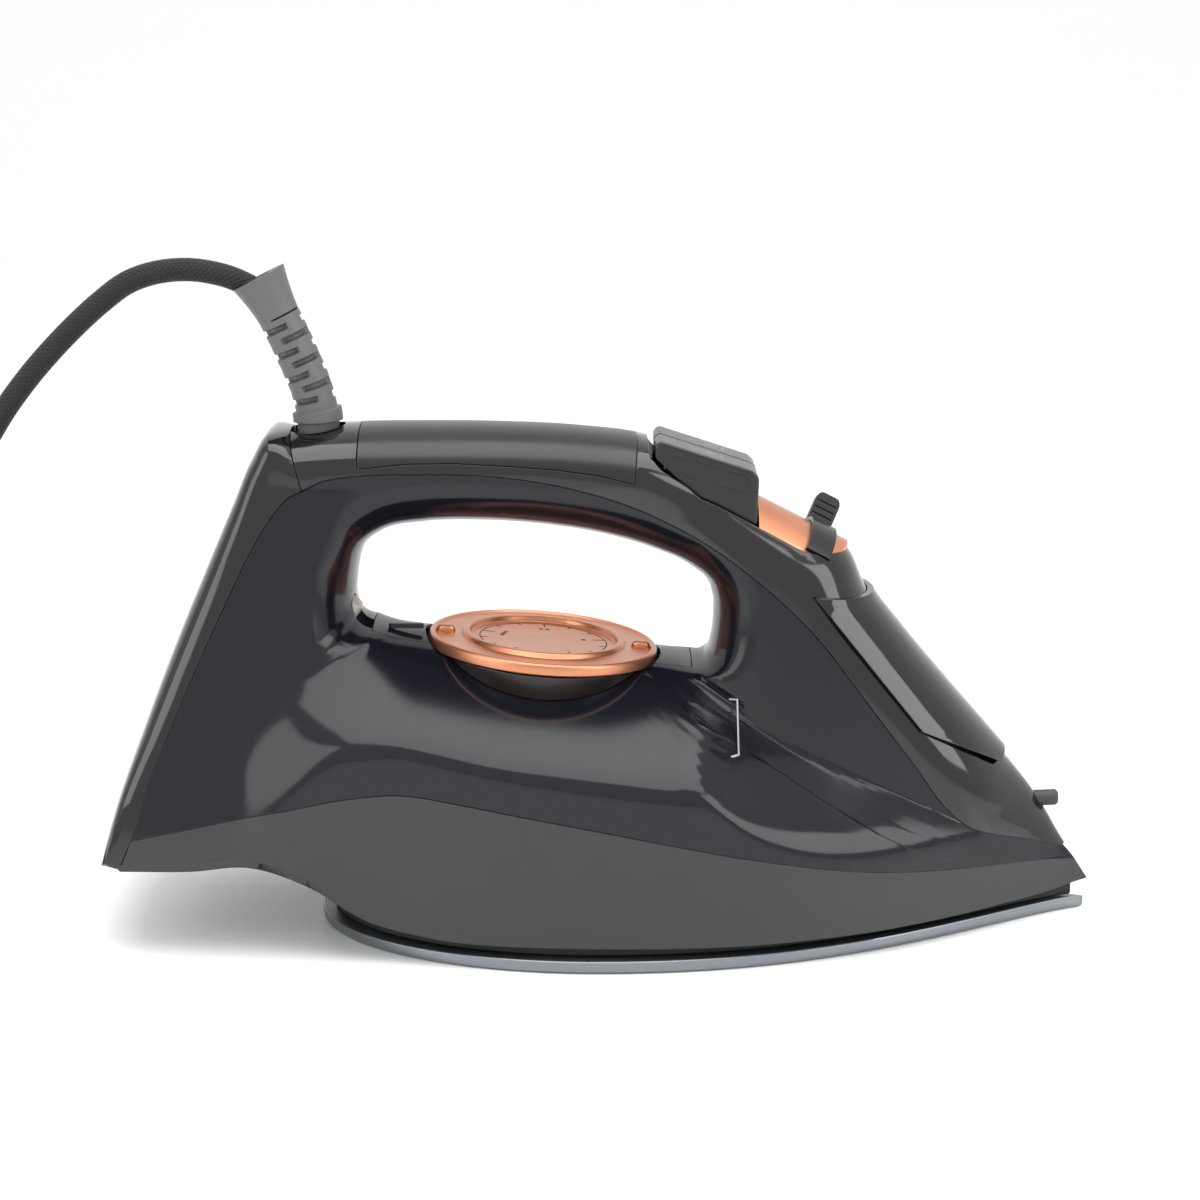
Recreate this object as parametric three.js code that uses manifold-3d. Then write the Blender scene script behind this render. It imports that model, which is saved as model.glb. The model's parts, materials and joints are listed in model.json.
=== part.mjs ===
// A corded steam iron standing on its soleplate.
// Units are millimetres. +X points to the nose, +Y to the left, +Z up.
// The origin is on the ground plane, under the middle of the iron's length and width.

import * as THREE from 'three';
import { mergeVertices } from 'three/addons/utils/BufferGeometryUtils.js';
import Module from 'manifold-3d';

const wasm = await Module();
wasm.setup();

// ---------------------------------------------------------------- driving dimensions

const LENGTH = 302; // heel face to nose tip
const WIDTH = 120; // across the soleplate
const HEIGHT = 154; // ground to the crown of the handle
const GAP = 0.3; // clearance between pieces that touch
const WALL = 2; // every moulded shell
const SOLE_THICKNESS = 4;
const SHIELD_BAND = 3.6; // height of the dark band between soleplate and skirt
const SHIELD_INSET = 4; // how far the band stands back from the soleplate's edge
const NOSE_SOLID = 56; // the nose is solid over this length
const HANDLE_WIDTH = 41;
const DECK_WIDTH = 24; // flat strip along the saddle
const DIAL_DIAMETER = 70;
const DIAL_RIM = 4;
const DIAL_TILT = THREE.MathUtils.degToRad(5);
const SPINDLE_DIAMETER = 8;
const SEAT_DEPTH = 17;
const BUTTON_WIDTH = 15;
const BUTTON_LENGTH = 29;
const BUTTON_SKIRT = 18; // height of a button's body
const BUTTON_TRAVEL = 4;
const PUMP_DIAMETER = 10;
const PUMP_HEIGHT = 13;
const PISTON_DIAMETER = 4;
const SPRING_DIAMETER = 7;
const SPRING_WIRE = 0.9;
const WELL_WIDTH = 34;
const REGULATOR_RADIUS = 22; // curvature of the saddle plate under the steam slider
const REGULATOR_SLOPE = THREE.MathUtils.degToRad(27);
const SLIDER_WIDTH = 8;
const PLATE_THICKNESS = 1.6;
const VALVE_ROD = 3;
const NOZZLE_DIAMETER = 5;
const SCREW_DIAMETER = 3.5;
const CORD_DIAMETER = 7;
const BALL_DIAMETER = 14.8;
const GUARD_MOUTH = 17;
const HOSE_DIAMETER = 5;
const ELEMENT_DIAMETER = 6.5;
const CASTING_HEIGHT = 12;
const CASTING_INSET = 11;

// ---------------------------------------------------------------- the outlines

// The side view is drawn on a sheet 302 long and 154 high, with the skirt's rim at 7.6,
// and is stretched to the real length and height.
const SHEET = { length: 302, width: 120, height: 154, rim: 7.6 };
const RIM = SOLE_THICKNESS + SHIELD_BAND;
const alongX = (x) => (x * LENGTH) / SHEET.length;
const acrossY = (y) => (y * WIDTH) / SHEET.width;
const upZ = (z) => RIM + ((z - SHEET.rim) * (HEIGHT - RIM)) / (SHEET.height - SHEET.rim);
const drawn = (points) => points.map(([x, z]) => [alongX(x), upZ(z)]);

// Three closed loops with the same number of stations, clockwise from the heel of the handle:
// the edge of the hand opening, the line where the tank meets its neighbours, and the outline.
// Stations 0 to 19 run along the handle cover, 19 to 20 round the nose, 20 to 33 along the
// skirt and 33 to 42 up the rear cover.
const COVER_END = 19;
const SKIRT_START = 20;
const SKIRT_END = 33;
const OPENING = drawn([
  [-74.2, 112], [-72.2, 117.5], [-66, 121.9], [-55, 124], [-36, 124.5], [-16, 123], [2, 119.8],
  [15, 115.8], [25.5, 111], [31, 106.5], [33, 101], [33.2, 94], [32.6, 88], [31.6, 84],
  [30, 81.6], [28.5, 81.1], [27, 81.2], [25, 81.5], [22, 82], [20, 82.3], [18, 82.6],
  [15, 83], [10, 83.6], [3, 84.4], [-6, 85.3], [-16, 86.3], [-26, 87.3], [-36, 88.3],
  [-46, 89.3], [-55, 90.3], [-63, 91.4], [-69, 92.6], [-72.5, 94], [-74, 95.8], [-74.9, 97.8],
  [-75.3, 99.8], [-75.5, 101.8], [-75.4, 103.8], [-75.2, 105.6], [-75, 107.2], [-74.8, 108.8],
  [-74.5, 110.4],
]);
const PARTING = drawn([
  [-89.5, 136.5], [-83.5, 139.4], [-74.5, 140.9], [-55, 141.5], [-34, 141], [-13, 137.9],
  [8, 131.6], [22.5, 124.6], [35.2, 117.3], [44.9, 110], [54, 102.2], [64.4, 91.6], [73, 80.6],
  [83, 67.3], [94, 52.8], [102.5, 41], [109.5, 34.6], [121, 29.8], [133.5, 25.4], [142.4, 21.4],
  [146.4, 17], [134.9, 18.7], [117.3, 20.8], [100.2, 22.9], [75.4, 26.8], [43.5, 33.8],
  [10.4, 41.1], [-20, 46.9], [-42, 50.5], [-58, 52.2], [-76, 50.2], [-96, 45.8], [-118, 40.6],
  [-140, 35.9], [-138.6, 39.5], [-135.3, 50.3], [-128, 68.3], [-118.7, 89.5], [-110.5, 107],
  [-103.5, 121], [-97.5, 130.2], [-93.5, 134.6],
]);
const OUTLINE = drawn([
  [-94, 152.5], [-84, 153.3], [-72, 153.8], [-54, 154], [-32, 153.8], [-8, 152.6], [14, 149.5],
  [34, 140.5], [50, 130.8], [62, 123.4], [73.8, 115.8], [80.2, 102.9], [90.6, 89.3], [103.6, 73.9],
  [116.7, 58.9], [126.8, 47], [133, 39], [137.8, 31.5], [141.2, 25.5], [143.6, 21.6], [147.4, 15.6],
  [151, 10], [139.4, 8], [118, 7.4], [92, 7.4], [55, 7.5], [14, 7.6], [-24, 7.8], [-50, 8.8],
  [-70, 13], [-88, 23.6], [-104, 28.8], [-122, 27.2], [-143.5, 26.8], [-151, 25.8], [-147, 41.5],
  [-138.5, 65.5], [-128.5, 91], [-119.5, 112], [-111, 131.5], [-105, 145], [-100, 152.2],
]);

// The ribs between the opening and the parting line are straight, but for these near the nose:
// they bend, so that they reach the parting line from inside the tank.
const RIB_BENDS = new Map([
  [16, [92, 43]], [17, [104, 32]], [18, [104, 27]], [19, [104, 24.5]], [20, [104, 22.5]], [21, [98, 26]], [22, [84, 31]],
].map(([station, bend]) => [station, ...drawn([bend])]));

// How far the crown is rounded inwards from the opening and from the outline, by station.
const spread = (runs) => runs.flatMap(([count, value]) => Array(count).fill(value));
const INNER_ROUND = spread([[11, 14], [1, 13], [1, 11], [1, 8], [18, 4], [1, 7], [2, 11], [7, 14]]);
const OUTER_ROUND = spread([
  [7, 13], [5, 21], [5, 20], [1, 14], [1, 9], [1, 5], [1, 3], [13, 0], [1, 8], [7, 10],
]);
const CROWN_POWER = 2.2;
const REAR_POWER = 4;

// Half-width of the base in plan view, and the line and half-width where the roof of the
// tank starts: along the saddle between the columns and down the crease of the front column.
const hermite = (points) => {
  const slope = (i, j) => (points[j][1] - points[i][1]) / (points[j][0] - points[i][0]);
  const last = points.length - 1;
  return (x) => {
    if (x <= points[0][0]) return points[0][1];
    if (x >= points[last][0]) return points[last][1];
    const i = points.findIndex((point) => point[0] > x) - 1;
    const span = points[i + 1][0] - points[i][0];
    const t = (x - points[i][0]) / span;
    const m0 = slope(Math.max(i - 1, 0), i + 1) * span;
    const m1 = slope(i, Math.min(i + 2, last)) * span;
    const [a, b] = [points[i][1], points[i + 1][1]];
    return a + t * (m0 + t * (3 * (b - a) - 2 * m0 - m1 + t * (2 * (a - b) + m0 + m1)));
  };
};
const planWidth = hermite([
  [-151, 45.2], [-140, 45.6], [-117, 47.3], [-93, 48.6], [-75, 49.6], [-62, 51.2], [-46, 54.6],
  [-28, 57.6], [-8, 58.8], [13, 59], [34, 57.4], [51, 54], [75, 45.8], [91.5, 37.8],
  [108.6, 27.4], [121, 19], [131, 12], [139.4, 6.4], [147, 2.2], [151, 0.8],
].map(([x, y]) => [alongX(x), acrossY(y)]));
const creaseHeight = hermite([
  [-151, 78], [-110, 81], [-90, 85], [-75, 88.5], [-60, 90.4], [-36, 88.3], [-10, 85.8],
  [15, 83.2], [27, 81.4], [31.5, 76.6], [40.5, 68.4], [52, 61.2], [64, 55.2], [78, 49.6],
  [92, 43.6], [106, 36.8], [151, 10],
].map(([x, z]) => [alongX(x), upZ(z)]));
const creaseWidth = hermite([
  [-151, 34.6], [-110, 33.8], [-90, 31], [-77, 24], [-62, 14], [-50, 12], [20, 12], [27, 15],
  [32, 20.5], [40, 24], [52, 26], [70, 27.2], [92, 27.4], [106, 26.4], [151, 26],
].map(([x, y]) => [alongX(x), acrossY(y)]));
const roofFlare = hermite([
  [-151, 0.28], [-110, 0.32], [-92, 0.6], [-75, 1.2], [-55, 1.7], [20, 1.7], [45, 1.35], [80, 1.15],
  [151, 1],
].map(([x, slope]) => [alongX(x), slope]));
const SHOULDER = 6; // softness of the shoulder between roof and side
const HANDLE_LEVEL = upZ(137);

function halfWidth(x, z) {
  const crease = creaseHeight(x);
  const above = THREE.MathUtils.clamp((z - crease) / (HANDLE_LEVEL - crease), 0, 1);
  const column = THREE.MathUtils.lerp(creaseWidth(x), HANDLE_WIDTH / 2, above);
  const upper = column + roofFlare(x) * Math.max(0, crease - z);
  const base = planWidth(x);
  const softness = Math.max(SHOULDER - Math.abs(upper - base), 0);
  return Math.min(upper, base) - (softness * softness) / (4 * SHOULDER);
}

// How much longer a way straight across the iron is than a way square to the side there.
function slant(x, z) {
  const step = 1;
  const lengthwise = (halfWidth(x + step, z) - halfWidth(x - step, z)) / (2 * step);
  const upwards = (halfWidth(x, z + step) - halfWidth(x, z - step)) / (2 * step);
  return Math.hypot(1, lengthwise, upwards);
}

// ---------------------------------------------------------------- solids and booleans

function solidFrom(geometry) {
  const plain = geometry.clone();
  plain.deleteAttribute('normal');
  plain.deleteAttribute('uv');
  const merged = mergeVertices(plain, 1e-4);
  const index = Array.from(merged.index.array);
  const triangles = [];
  for (let i = 0; i < index.length; i += 3) {
    const [a, b, c] = index.slice(i, i + 3);
    if (a !== b && b !== c && c !== a) triangles.push(a, b, c);
  }
  const mesh = new wasm.Mesh({
    numProp: 3,
    vertProperties: new Float32Array(merged.attributes.position.array),
    triVerts: new Uint32Array(triangles),
  });
  return new wasm.Manifold(mesh);
}

function geometryFrom(solid) {
  const mesh = solid.getMesh();
  const geometry = new THREE.BufferGeometry();
  geometry.setAttribute('position', new THREE.BufferAttribute(mesh.vertProperties, 3));
  geometry.setIndex(new THREE.BufferAttribute(mesh.triVerts, 1));
  return geometry;
}

const shapeOf = (points) => new THREE.Shape(points.map(([x, y]) => new THREE.Vector2(x, y)));
const placed = (geometry, x, y, z) => solidFrom(geometry.translate(x, y, z));

// A plan outline pulled up from one height to another.
function upright(points, low, high) {
  const geometry = new THREE.ExtrudeGeometry(shapeOf(points), { depth: high - low, bevelEnabled: false });
  return placed(geometry, 0, 0, low);
}

// A side-view outline pulled across the iron from one side to the other.
function across(points, right = -WIDTH, left = WIDTH) {
  const geometry = new THREE.ExtrudeGeometry(shapeOf(points), { depth: left - right, bevelEnabled: false });
  geometry.rotateX(Math.PI / 2);
  return placed(geometry, 0, left, 0);
}

const block = (sx, sy, sz, x, y, z) => placed(new THREE.BoxGeometry(sx, sy, sz), x, y, z);

// A turned piece: the profile is [radius, height] from the axis round to the axis.
function turned(profile, sides = 24) {
  const points = profile.map(([radius, height]) => new THREE.Vector2(radius, height));
  return solidFrom(new THREE.LatheGeometry(points, sides).rotateX(Math.PI / 2));
}

const drum = (radius, low, high, sides) => turned([[0, low], [radius, low], [radius, high], [0, high]], sides);
const ringOf = (inner, outer, low, high, sides) => turned(
  [[inner, low], [outer, low], [outer, high], [inner, high], [inner, low]], sides);

// Turned or upright work tilted about Y and moved to its place.
const setAt = (solid, x, y, z, tilt = 0) =>
  solid.rotate([0, THREE.MathUtils.radToDeg(tilt), 0]).translate([x, y, z]);

// A round bar, tube or hose through a list of points.
function bar(points, radius, sides = 8, steps = points.length * 3) {
  const curve = new THREE.CatmullRomCurve3(points.map((point) => new THREE.Vector3(...point)));
  const section = new THREE.Shape();
  for (let i = 0; i < sides; i += 1) {
    const angle = (i / sides) * Math.PI * 2;
    const corner = [radius * Math.cos(angle), radius * Math.sin(angle)];
    if (i === 0) section.moveTo(...corner);
    else section.lineTo(...corner);
  }
  return solidFrom(new THREE.ExtrudeGeometry(section, { steps, extrudePath: curve, bevelEnabled: false }));
}

// ---------------------------------------------------------------- the body skin

const quarter = (ratio, power) => (ratio >= 1 ? 1 : (1 - (1 - Math.max(ratio, 0)) ** power) ** (1 / power));
const distance = (a, b) => Math.hypot(a[0] - b[0], a[1] - b[1]);
const between = (a, b, t) => [a[0] + (b[0] - a[0]) * t, a[1] + (b[1] - a[1]) * t];
const bentLine = (a, bend, b, t) => between(between(a, bend, t), between(bend, b, t), t);

// Each closed loop moved into the material by its own side-view normal.
function insetLoop(loop, inset, side) {
  return loop.map((point, i) => {
    const before = loop[(i + loop.length - 1) % loop.length];
    const after = loop[(i + 1) % loop.length];
    const run = distance(before, after);
    const normal = [(after[1] - before[1]) / run, -(after[0] - before[0]) / run];
    return [point[0] + side * inset * normal[0], point[1] + side * inset * normal[1]];
  });
}

const ROWS_IN = 8; // rows from the opening to the parting line
const ROWS_OUT = 4; // rows from the parting line to the outline
const ROW_CROWDING = 1.4; // rows crowd towards both crowns

// The body as one closed ring round the hand opening. At every station a row of points runs
// from the opening over the parting line to the outline; the half-width is the width field
// times a rounded quarter at each crown. The rows of the far side mirror the near ones.
function bodySkin(inset) {
  const inner = insetLoop(OPENING, inset, -1);
  const outer = insetLoop(OUTLINE, inset, 1);
  const rows = ROWS_IN + ROWS_OUT;
  const columns = OPENING.length;
  const position = [];
  for (let i = 0; i < columns; i += 1) {
    const parting = between(PARTING[i], between(inner[i], outer[i], 0.5), Math.min(1, inset / 20));
    const bend = RIB_BENDS.get(i) ?? between(inner[i], parting, 0.5);
    const total = distance(inner[i], parting) + distance(parting, outer[i]);
    for (let row = 0; row <= rows; row += 1) {
      const inwards = (row / ROWS_IN) ** ROW_CROWDING;
      const outwards = ((rows - row) / ROWS_OUT) ** (OUTER_ROUND[i] ? ROW_CROWDING : 1);
      const point = row <= ROWS_IN ? bentLine(inner[i], bend, parting, inwards) : between(outer[i], parting, outwards);
      const fromInner = row <= ROWS_IN
        ? distance(inner[i], point)
        : total - distance(point, outer[i]);
      const roundIn = Math.max(INNER_ROUND[i] - inset, 1);
      const roundOut = OUTER_ROUND[i] ? Math.max(OUTER_ROUND[i] - inset, 1) : 0;
      const power = i >= SKIRT_END ? REAR_POWER : CROWN_POWER;
      const crownIn = quarter(fromInner / roundIn, CROWN_POWER);
      const crownOut = roundOut ? quarter((total - fromInner) / roundOut, power) : 1;
      const y = Math.max(halfWidth(...point) - inset * slant(...point), 0.4) * crownIn * crownOut;
      position.push([point[0], y, point[1]]);
    }
  }
  const vertices = [...position.map(([x, y, z]) => [x, -y, z]), ...position];
  const far = position.length;
  const index = [];
  const quad = (a, b, c, d) => index.push(a, c, b, a, d, c);
  for (let i = 0; i < columns; i += 1) {
    const here = i * (rows + 1);
    const next = ((i + 1) % columns) * (rows + 1);
    for (let row = 0; row < rows; row += 1) {
      quad(here + row, here + row + 1, next + row + 1, next + row);
      quad(far + next + row, far + next + row + 1, far + here + row + 1, far + here + row);
    }
    quad(here + rows, far + here + rows, far + next + rows, next + rows);
  }
  const geometry = new THREE.BufferGeometry();
  geometry.setAttribute('position', new THREE.Float32BufferAttribute(vertices.flat(), 3));
  geometry.setIndex(index);
  return solidFrom(geometry);
}

// ---------------------------------------------------------------- the scene group

const iron = new THREE.Group();
const finish = (color, roughness, metalness = 0) => new THREE.MeshStandardMaterial({ color, roughness, metalness });
const GLOSS_BLACK = finish(0x1d1d1e, 0.15);
const SATIN_GREY = finish(0x484848, 0.45);
const SMOKE = finish(0x232636, 0.12);
const COPPER = finish(0xc98b62, 0.35, 0.6);
const PLATE_GREY = finish(0x777c80, 0.35, 0.7);
const CAST_METAL = finish(0x9a9c9e, 0.6, 0.8);
const BRIGHT_STEEL = finish(0xc4c6c8, 0.3, 1);
const BRASS = finish(0xb8934a, 0.35, 1);
const DARK_PLASTIC = finish(0x161616, 0.5);
const PALE_PLASTIC = finish(0xd8d6cf, 0.5);
const RUBBER = finish(0x6a6a6a, 0.7);
const SILICONE = finish(0xa03a2c, 0.6);
const CLEAR = finish(0xd9dde0, 0.1);
const BRAID = finish(0x141414, 0.9);

function add(name, solid, material, parent = iron) {
  const mesh = new THREE.Mesh(geometryFrom(solid), material);
  mesh.name = name;
  parent.add(mesh);
  return mesh;
}

// ---------------------------------------------------------------- casings

const outerSkin = bodySkin(0);
const innerSkin = bodySkin(WALL);
const noseBlock = block(NOSE_SOLID * 2, WIDTH, HEIGHT, LENGTH / 2, 0, HEIGHT / 2);
const heelBlock = block(24, WIDTH, 10, -LENGTH / 2, 0, upZ(24.5));
const cavity = innerSkin.subtract(noseBlock).subtract(heelBlock);
const shell = outerSkin.subtract(cavity);

// A side-view cut through a boundary line, one gap wide.
function slit(start, end) {
  const along = [end[0] - start[0], end[1] - start[1]];
  const reach = Math.hypot(...along);
  const side = [(-along[1] / reach) * (GAP / 2), (along[0] / reach) * (GAP / 2)];
  const far = between(start, end, 1 + 30 / reach);
  return across([
    [start[0] + side[0], start[1] + side[1]], [start[0] - side[0], start[1] - side[1]],
    [far[0] - side[0], far[1] - side[1]], [far[0] + side[0], far[1] + side[1]],
  ]);
}
// The cut turns just past each station, so that it meets no rib of the skin at a grazing angle.
const PAST_STATION = 0.5;
const cutLine = PARTING.map((point, i) => {
  const next = PARTING[(i + 1) % PARTING.length];
  return between(point, next, PAST_STATION / distance(point, next));
});
const insideParting = insetLoop(cutLine, GAP / 2, 1);
const outsideParting = insetLoop(cutLine, GAP / 2, -1);
const MARGIN = 30;
const wayOut = insetLoop(OUTLINE, MARGIN, -1);
const stations = (loop, from, to) => Array.from({ length: to - from + 1 }, (_, i) => loop[(from + i) % loop.length]);
const boundary = (i) => [PARTING[i % PARTING.length], OUTLINE[i % OUTLINE.length]];
const entryAt = (i) => between(...boundary(i), GAP / distance(...boundary(i)));
const exitAt = (i) => between(...boundary(i), 1 + MARGIN / distance(...boundary(i)));
const casingRegion = (from, to) => across([
  entryAt(from), ...stations(outsideParting, from + 1, to - 1), entryAt(to), exitAt(to),
  ...stations(wayOut, from + 1, to - 1).reverse(), exitAt(from),
]);

const coverSlit = slit(PARTING[0], OUTLINE[0]);
const noseTopSlit = slit(PARTING[COVER_END], OUTLINE[COVER_END]);
const noseLowSlit = slit(PARTING[SKIRT_START], OUTLINE[SKIRT_START]);
const heelSlit = slit(PARTING[SKIRT_END], OUTLINE[SKIRT_END]);

const noseExit = [COVER_END, SKIRT_START].map((i) => between(PARTING[i], OUTLINE[i], 6));
const heelReach = distance(PARTING[SKIRT_END], OPENING[SKIRT_END]);
const tankHeel = between(PARTING[SKIRT_END], OPENING[SKIRT_END], (3 * GAP) / heelReach);
const tankRegion = across([
  ...insideParting.slice(0, COVER_END), PARTING[COVER_END], ...noseExit, PARTING[SKIRT_START],
  ...insideParting.slice(SKIRT_START + 1, SKIRT_END), tankHeel, ...insideParting.slice(SKIRT_END + 1),
]);
let tank = shell.intersect(tankRegion).subtract(noseTopSlit).subtract(noseLowSlit);
let cover = shell.intersect(casingRegion(0, COVER_END)).subtract(coverSlit).subtract(noseTopSlit);
let skirt = shell.intersect(casingRegion(SKIRT_START, SKIRT_END)).subtract(noseLowSlit).subtract(heelSlit);
let rearCover = shell.intersect(casingRegion(SKIRT_END, OPENING.length)).subtract(heelSlit).subtract(coverSlit);

// ---------------------------------------------------------------- plan outlines

// The soleplate: an elliptic heel and a long pointed nose.
const SOLE_REAR = alongX(-87.6);
const SOLE_NOSE = alongX(150);
const SOLE_WIDEST = alongX(-3);
function soleOutline(inset, nose = SOLE_NOSE - inset) {
  const half = WIDTH / 2 - inset;
  const points = [];
  const steps = 14;
  for (let i = 0; i <= steps; i += 1) {
    const t = Math.sin((i / steps) * (Math.PI / 2));
    points.push([SOLE_WIDEST + (nose - SOLE_WIDEST) * t, half * (1 - t ** 2.2) ** 1.3]);
  }
  for (let i = 1; i <= steps / 2; i += 1) {
    const t = Math.cos((i / (steps / 2)) * (Math.PI / 2));
    points.unshift([SOLE_WIDEST + (SOLE_REAR + inset - SOLE_WIDEST) * (1 - t ** 2.2) ** 0.52, half * t]);
  }
  const left = points.filter(([, y]) => y > 0.05);
  const ends = [points[0], points[points.length - 1]];
  return [[ends[0][0], 0], ...left, [ends[1][0], 0], ...left.map(([x, y]) => [x, -y]).reverse()];
}

// ---------------------------------------------------------------- sole, heater and shield

const CASTING_NOSE = alongX(96);
const CASTING_LOW = SOLE_THICKNESS + GAP;
const CASTING_TOP = CASTING_LOW + CASTING_HEIGHT;
const castingOutline = soleOutline(CASTING_INSET, CASTING_NOSE);

let soleplate = upright(soleOutline(0), SOLE_THICKNESS * 0.45, SOLE_THICKNESS)
  .add(upright(soleOutline(1.6), 0, SOLE_THICKNESS));
const STEAM_HOLE = 3.2;
const HOLE_ROWS = [[-52, 20], [-22, 34], [12, 36], [44, 30], [74, 19]];
for (const [x, y] of HOLE_ROWS) {
  for (const side of [-1, 1]) {
    soleplate = soleplate.subtract(
      drum(STEAM_HOLE / 2, -1, SOLE_THICKNESS + 1, 6).translate([alongX(x), side * acrossY(y), 0]));
  }
}
add('soleplate', soleplate, PLATE_GREY);

// The heating element lies in a groove of the casting, as a long U with its ends at the heel.
const ELEMENT_LEVEL = CASTING_TOP - ELEMENT_DIAMETER / 2 - GAP;
const elementHalf = acrossY(27);
const elementPath = [
  [alongX(-62), -elementHalf, ELEMENT_LEVEL], [alongX(-30), -elementHalf - 2, ELEMENT_LEVEL],
  [alongX(10), -elementHalf, ELEMENT_LEVEL], [alongX(48), -elementHalf * 0.62, ELEMENT_LEVEL],
  [alongX(72), 0, ELEMENT_LEVEL], [alongX(48), elementHalf * 0.62, ELEMENT_LEVEL],
  [alongX(10), elementHalf, ELEMENT_LEVEL], [alongX(-30), elementHalf + 2, ELEMENT_LEVEL],
  [alongX(-62), elementHalf, ELEMENT_LEVEL],
];
const element = bar(elementPath, ELEMENT_DIAMETER / 2, 6, 16);
const elementGroove = bar(elementPath, ELEMENT_DIAMETER / 2 + GAP, 6, 16);
const chamberOutline = soleOutline(CASTING_INSET + 22, alongX(56));
const casting = upright(castingOutline, CASTING_LOW, CASTING_TOP)
  .subtract(elementGroove)
  .subtract(elementGroove.translate([0, 0, ELEMENT_DIAMETER / 2]))
  .subtract(upright(chamberOutline, CASTING_LOW + 4, CASTING_TOP + 1));
add('heater_casting', casting, CAST_METAL);
add('heating_element', element, BRIGHT_STEEL);
const CHAMBER_TOP = CASTING_TOP + GAP + PLATE_THICKNESS;
const VALVE_X = alongX(44);
const SPINDLE_X = alongX(-18.5);
const chamberCover = upright(soleOutline(CASTING_INSET + 19, alongX(60)), CASTING_TOP + GAP, CHAMBER_TOP)
  .subtract(drum(2, 0, HEIGHT, 10).translate([VALVE_X, 0, 0]));
add('steam_chamber_cover', chamberCover, CAST_METAL);

// The shield is a ring between the hot casting and the skirt; the skirt is cut open for it.
const SHIELD_TOP = upZ(19);
const SHIELD_NOSE = alongX(140);
const shieldReach = soleOutline(SHIELD_INSET + WALL, SHIELD_NOSE - 14);
const shieldSide = across([
  [-LENGTH / 2, 0], [alongX(140), 0], [alongX(140), RIM - 2 * GAP], [alongX(92), RIM - 2 * GAP],
  [alongX(88), SHIELD_TOP], [-LENGTH / 2, SHIELD_TOP],
]);
const shield = upright(soleOutline(SHIELD_INSET, SHIELD_NOSE), SOLE_THICKNESS + GAP, SHIELD_TOP)
  .intersect(shieldSide)
  .subtract(upright(shieldReach, 0, HEIGHT));
const shieldRoom = upright(soleOutline(SHIELD_INSET - GAP, SHIELD_NOSE + GAP), 0, SHIELD_TOP + GAP);
const behindNose = block(LENGTH, WIDTH, HEIGHT, alongX(98) - LENGTH / 2, 0, HEIGHT / 2);
skirt = skirt.subtract(shieldRoom.intersect(behindNose)).subtract(shieldRoom.intersect(block(LENGTH, WIDTH, RIM, LENGTH / 2, 0, RIM / 2)));
add('heat_shield', shield, DARK_PLASTIC);

// ---------------------------------------------------------------- tank floor

const floorSkin = bodySkin(WALL + GAP).subtract(noseBlock);
const floorLine = stations(PARTING, SKIRT_START + 2, SKIRT_END);
const FLOOR_RISE = 3;
const FLOOR_THICKNESS = 2.4;
const raised = (points, by) => points.map(([x, z]) => [x, z + by]);
let tankBase = floorSkin.intersect(across([
  ...raised(floorLine, FLOOR_RISE + FLOOR_THICKNESS), ...raised(floorLine, FLOOR_RISE).reverse()]));

// ---------------------------------------------------------------- dial

const DIAL_TOP = upZ(88);
const DIAL_CENTRE = [SPINDLE_X, 0, DIAL_TOP];
const dialRadius = DIAL_DIAMETER / 2;
const seatRadius = dialRadius - 1.6;
const tiltDegrees = THREE.MathUtils.radToDeg(DIAL_TILT);
const onDial = (solid) => setAt(solid, ...DIAL_CENTRE, DIAL_TILT);
const SPINDLE_HOLE = SPINDLE_DIAMETER / 2 + GAP;
const seatTop = -DIAL_RIM - 2 * GAP;
const seat = onDial(turned([
  [SPINDLE_HOLE, seatTop - SEAT_DEPTH], [seatRadius - 5, seatTop - SEAT_DEPTH], [seatRadius, seatTop],
  [seatRadius - WALL, seatTop], [seatRadius - 6.5, seatTop - SEAT_DEPTH + WALL],
  [SPINDLE_HOLE, seatTop - SEAT_DEPTH + WALL], [SPINDLE_HOLE, seatTop - SEAT_DEPTH],
], 40));
const seatRoom = onDial(turned([
  [0, seatTop - SEAT_DEPTH - GAP], [seatRadius - 5 + GAP, seatTop - SEAT_DEPTH - GAP],
  [seatRadius + GAP, seatTop], [dialRadius + 4 * GAP, seatTop], [dialRadius + 4 * GAP, 30], [0, 30],
], 40));
tank = tank.subtract(seatRoom);

// The strip along the saddle, in two runs that end at the dial's pocket.
const stripOutline = (inset) => {
  const half = (DECK_WIDTH / 2) - inset;
  const [rear, front] = [alongX(-70) + inset, alongX(26.5) - inset];
  return [[rear, -half], [front, -half], [front, half], [rear, half]];
};
const SADDLE_LOW = upZ(76);
const stripTool = (inset) => upright(stripOutline(inset), SADDLE_LOW, upZ(100));
const strip = shell.intersect(stripTool(GAP)).subtract(seatRoom);
tank = tank.subtract(stripTool(0));
const [stripA, stripB] = strip.decompose().filter((piece) => piece.volume() > 20);
const stripIsRear = stripA.boundingBox().min[0] < stripB.boundingBox().min[0];
add('dial_seat', seat, DARK_PLASTIC);
add('deck_strip_rear', stripIsRear ? stripA : stripB, SMOKE);
add('deck_strip_front', stripIsRear ? stripB : stripA, SMOKE);
const indexMark = block(10, 1.2, 0.6, 0, 0, 0)
  .rotate([0, tiltDegrees, 0])
  .translate([alongX(-60), -DECK_WIDTH / 4, upZ(91.2) + 1.2]);
add('dial_index', indexMark, DARK_PLASTIC);

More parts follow.
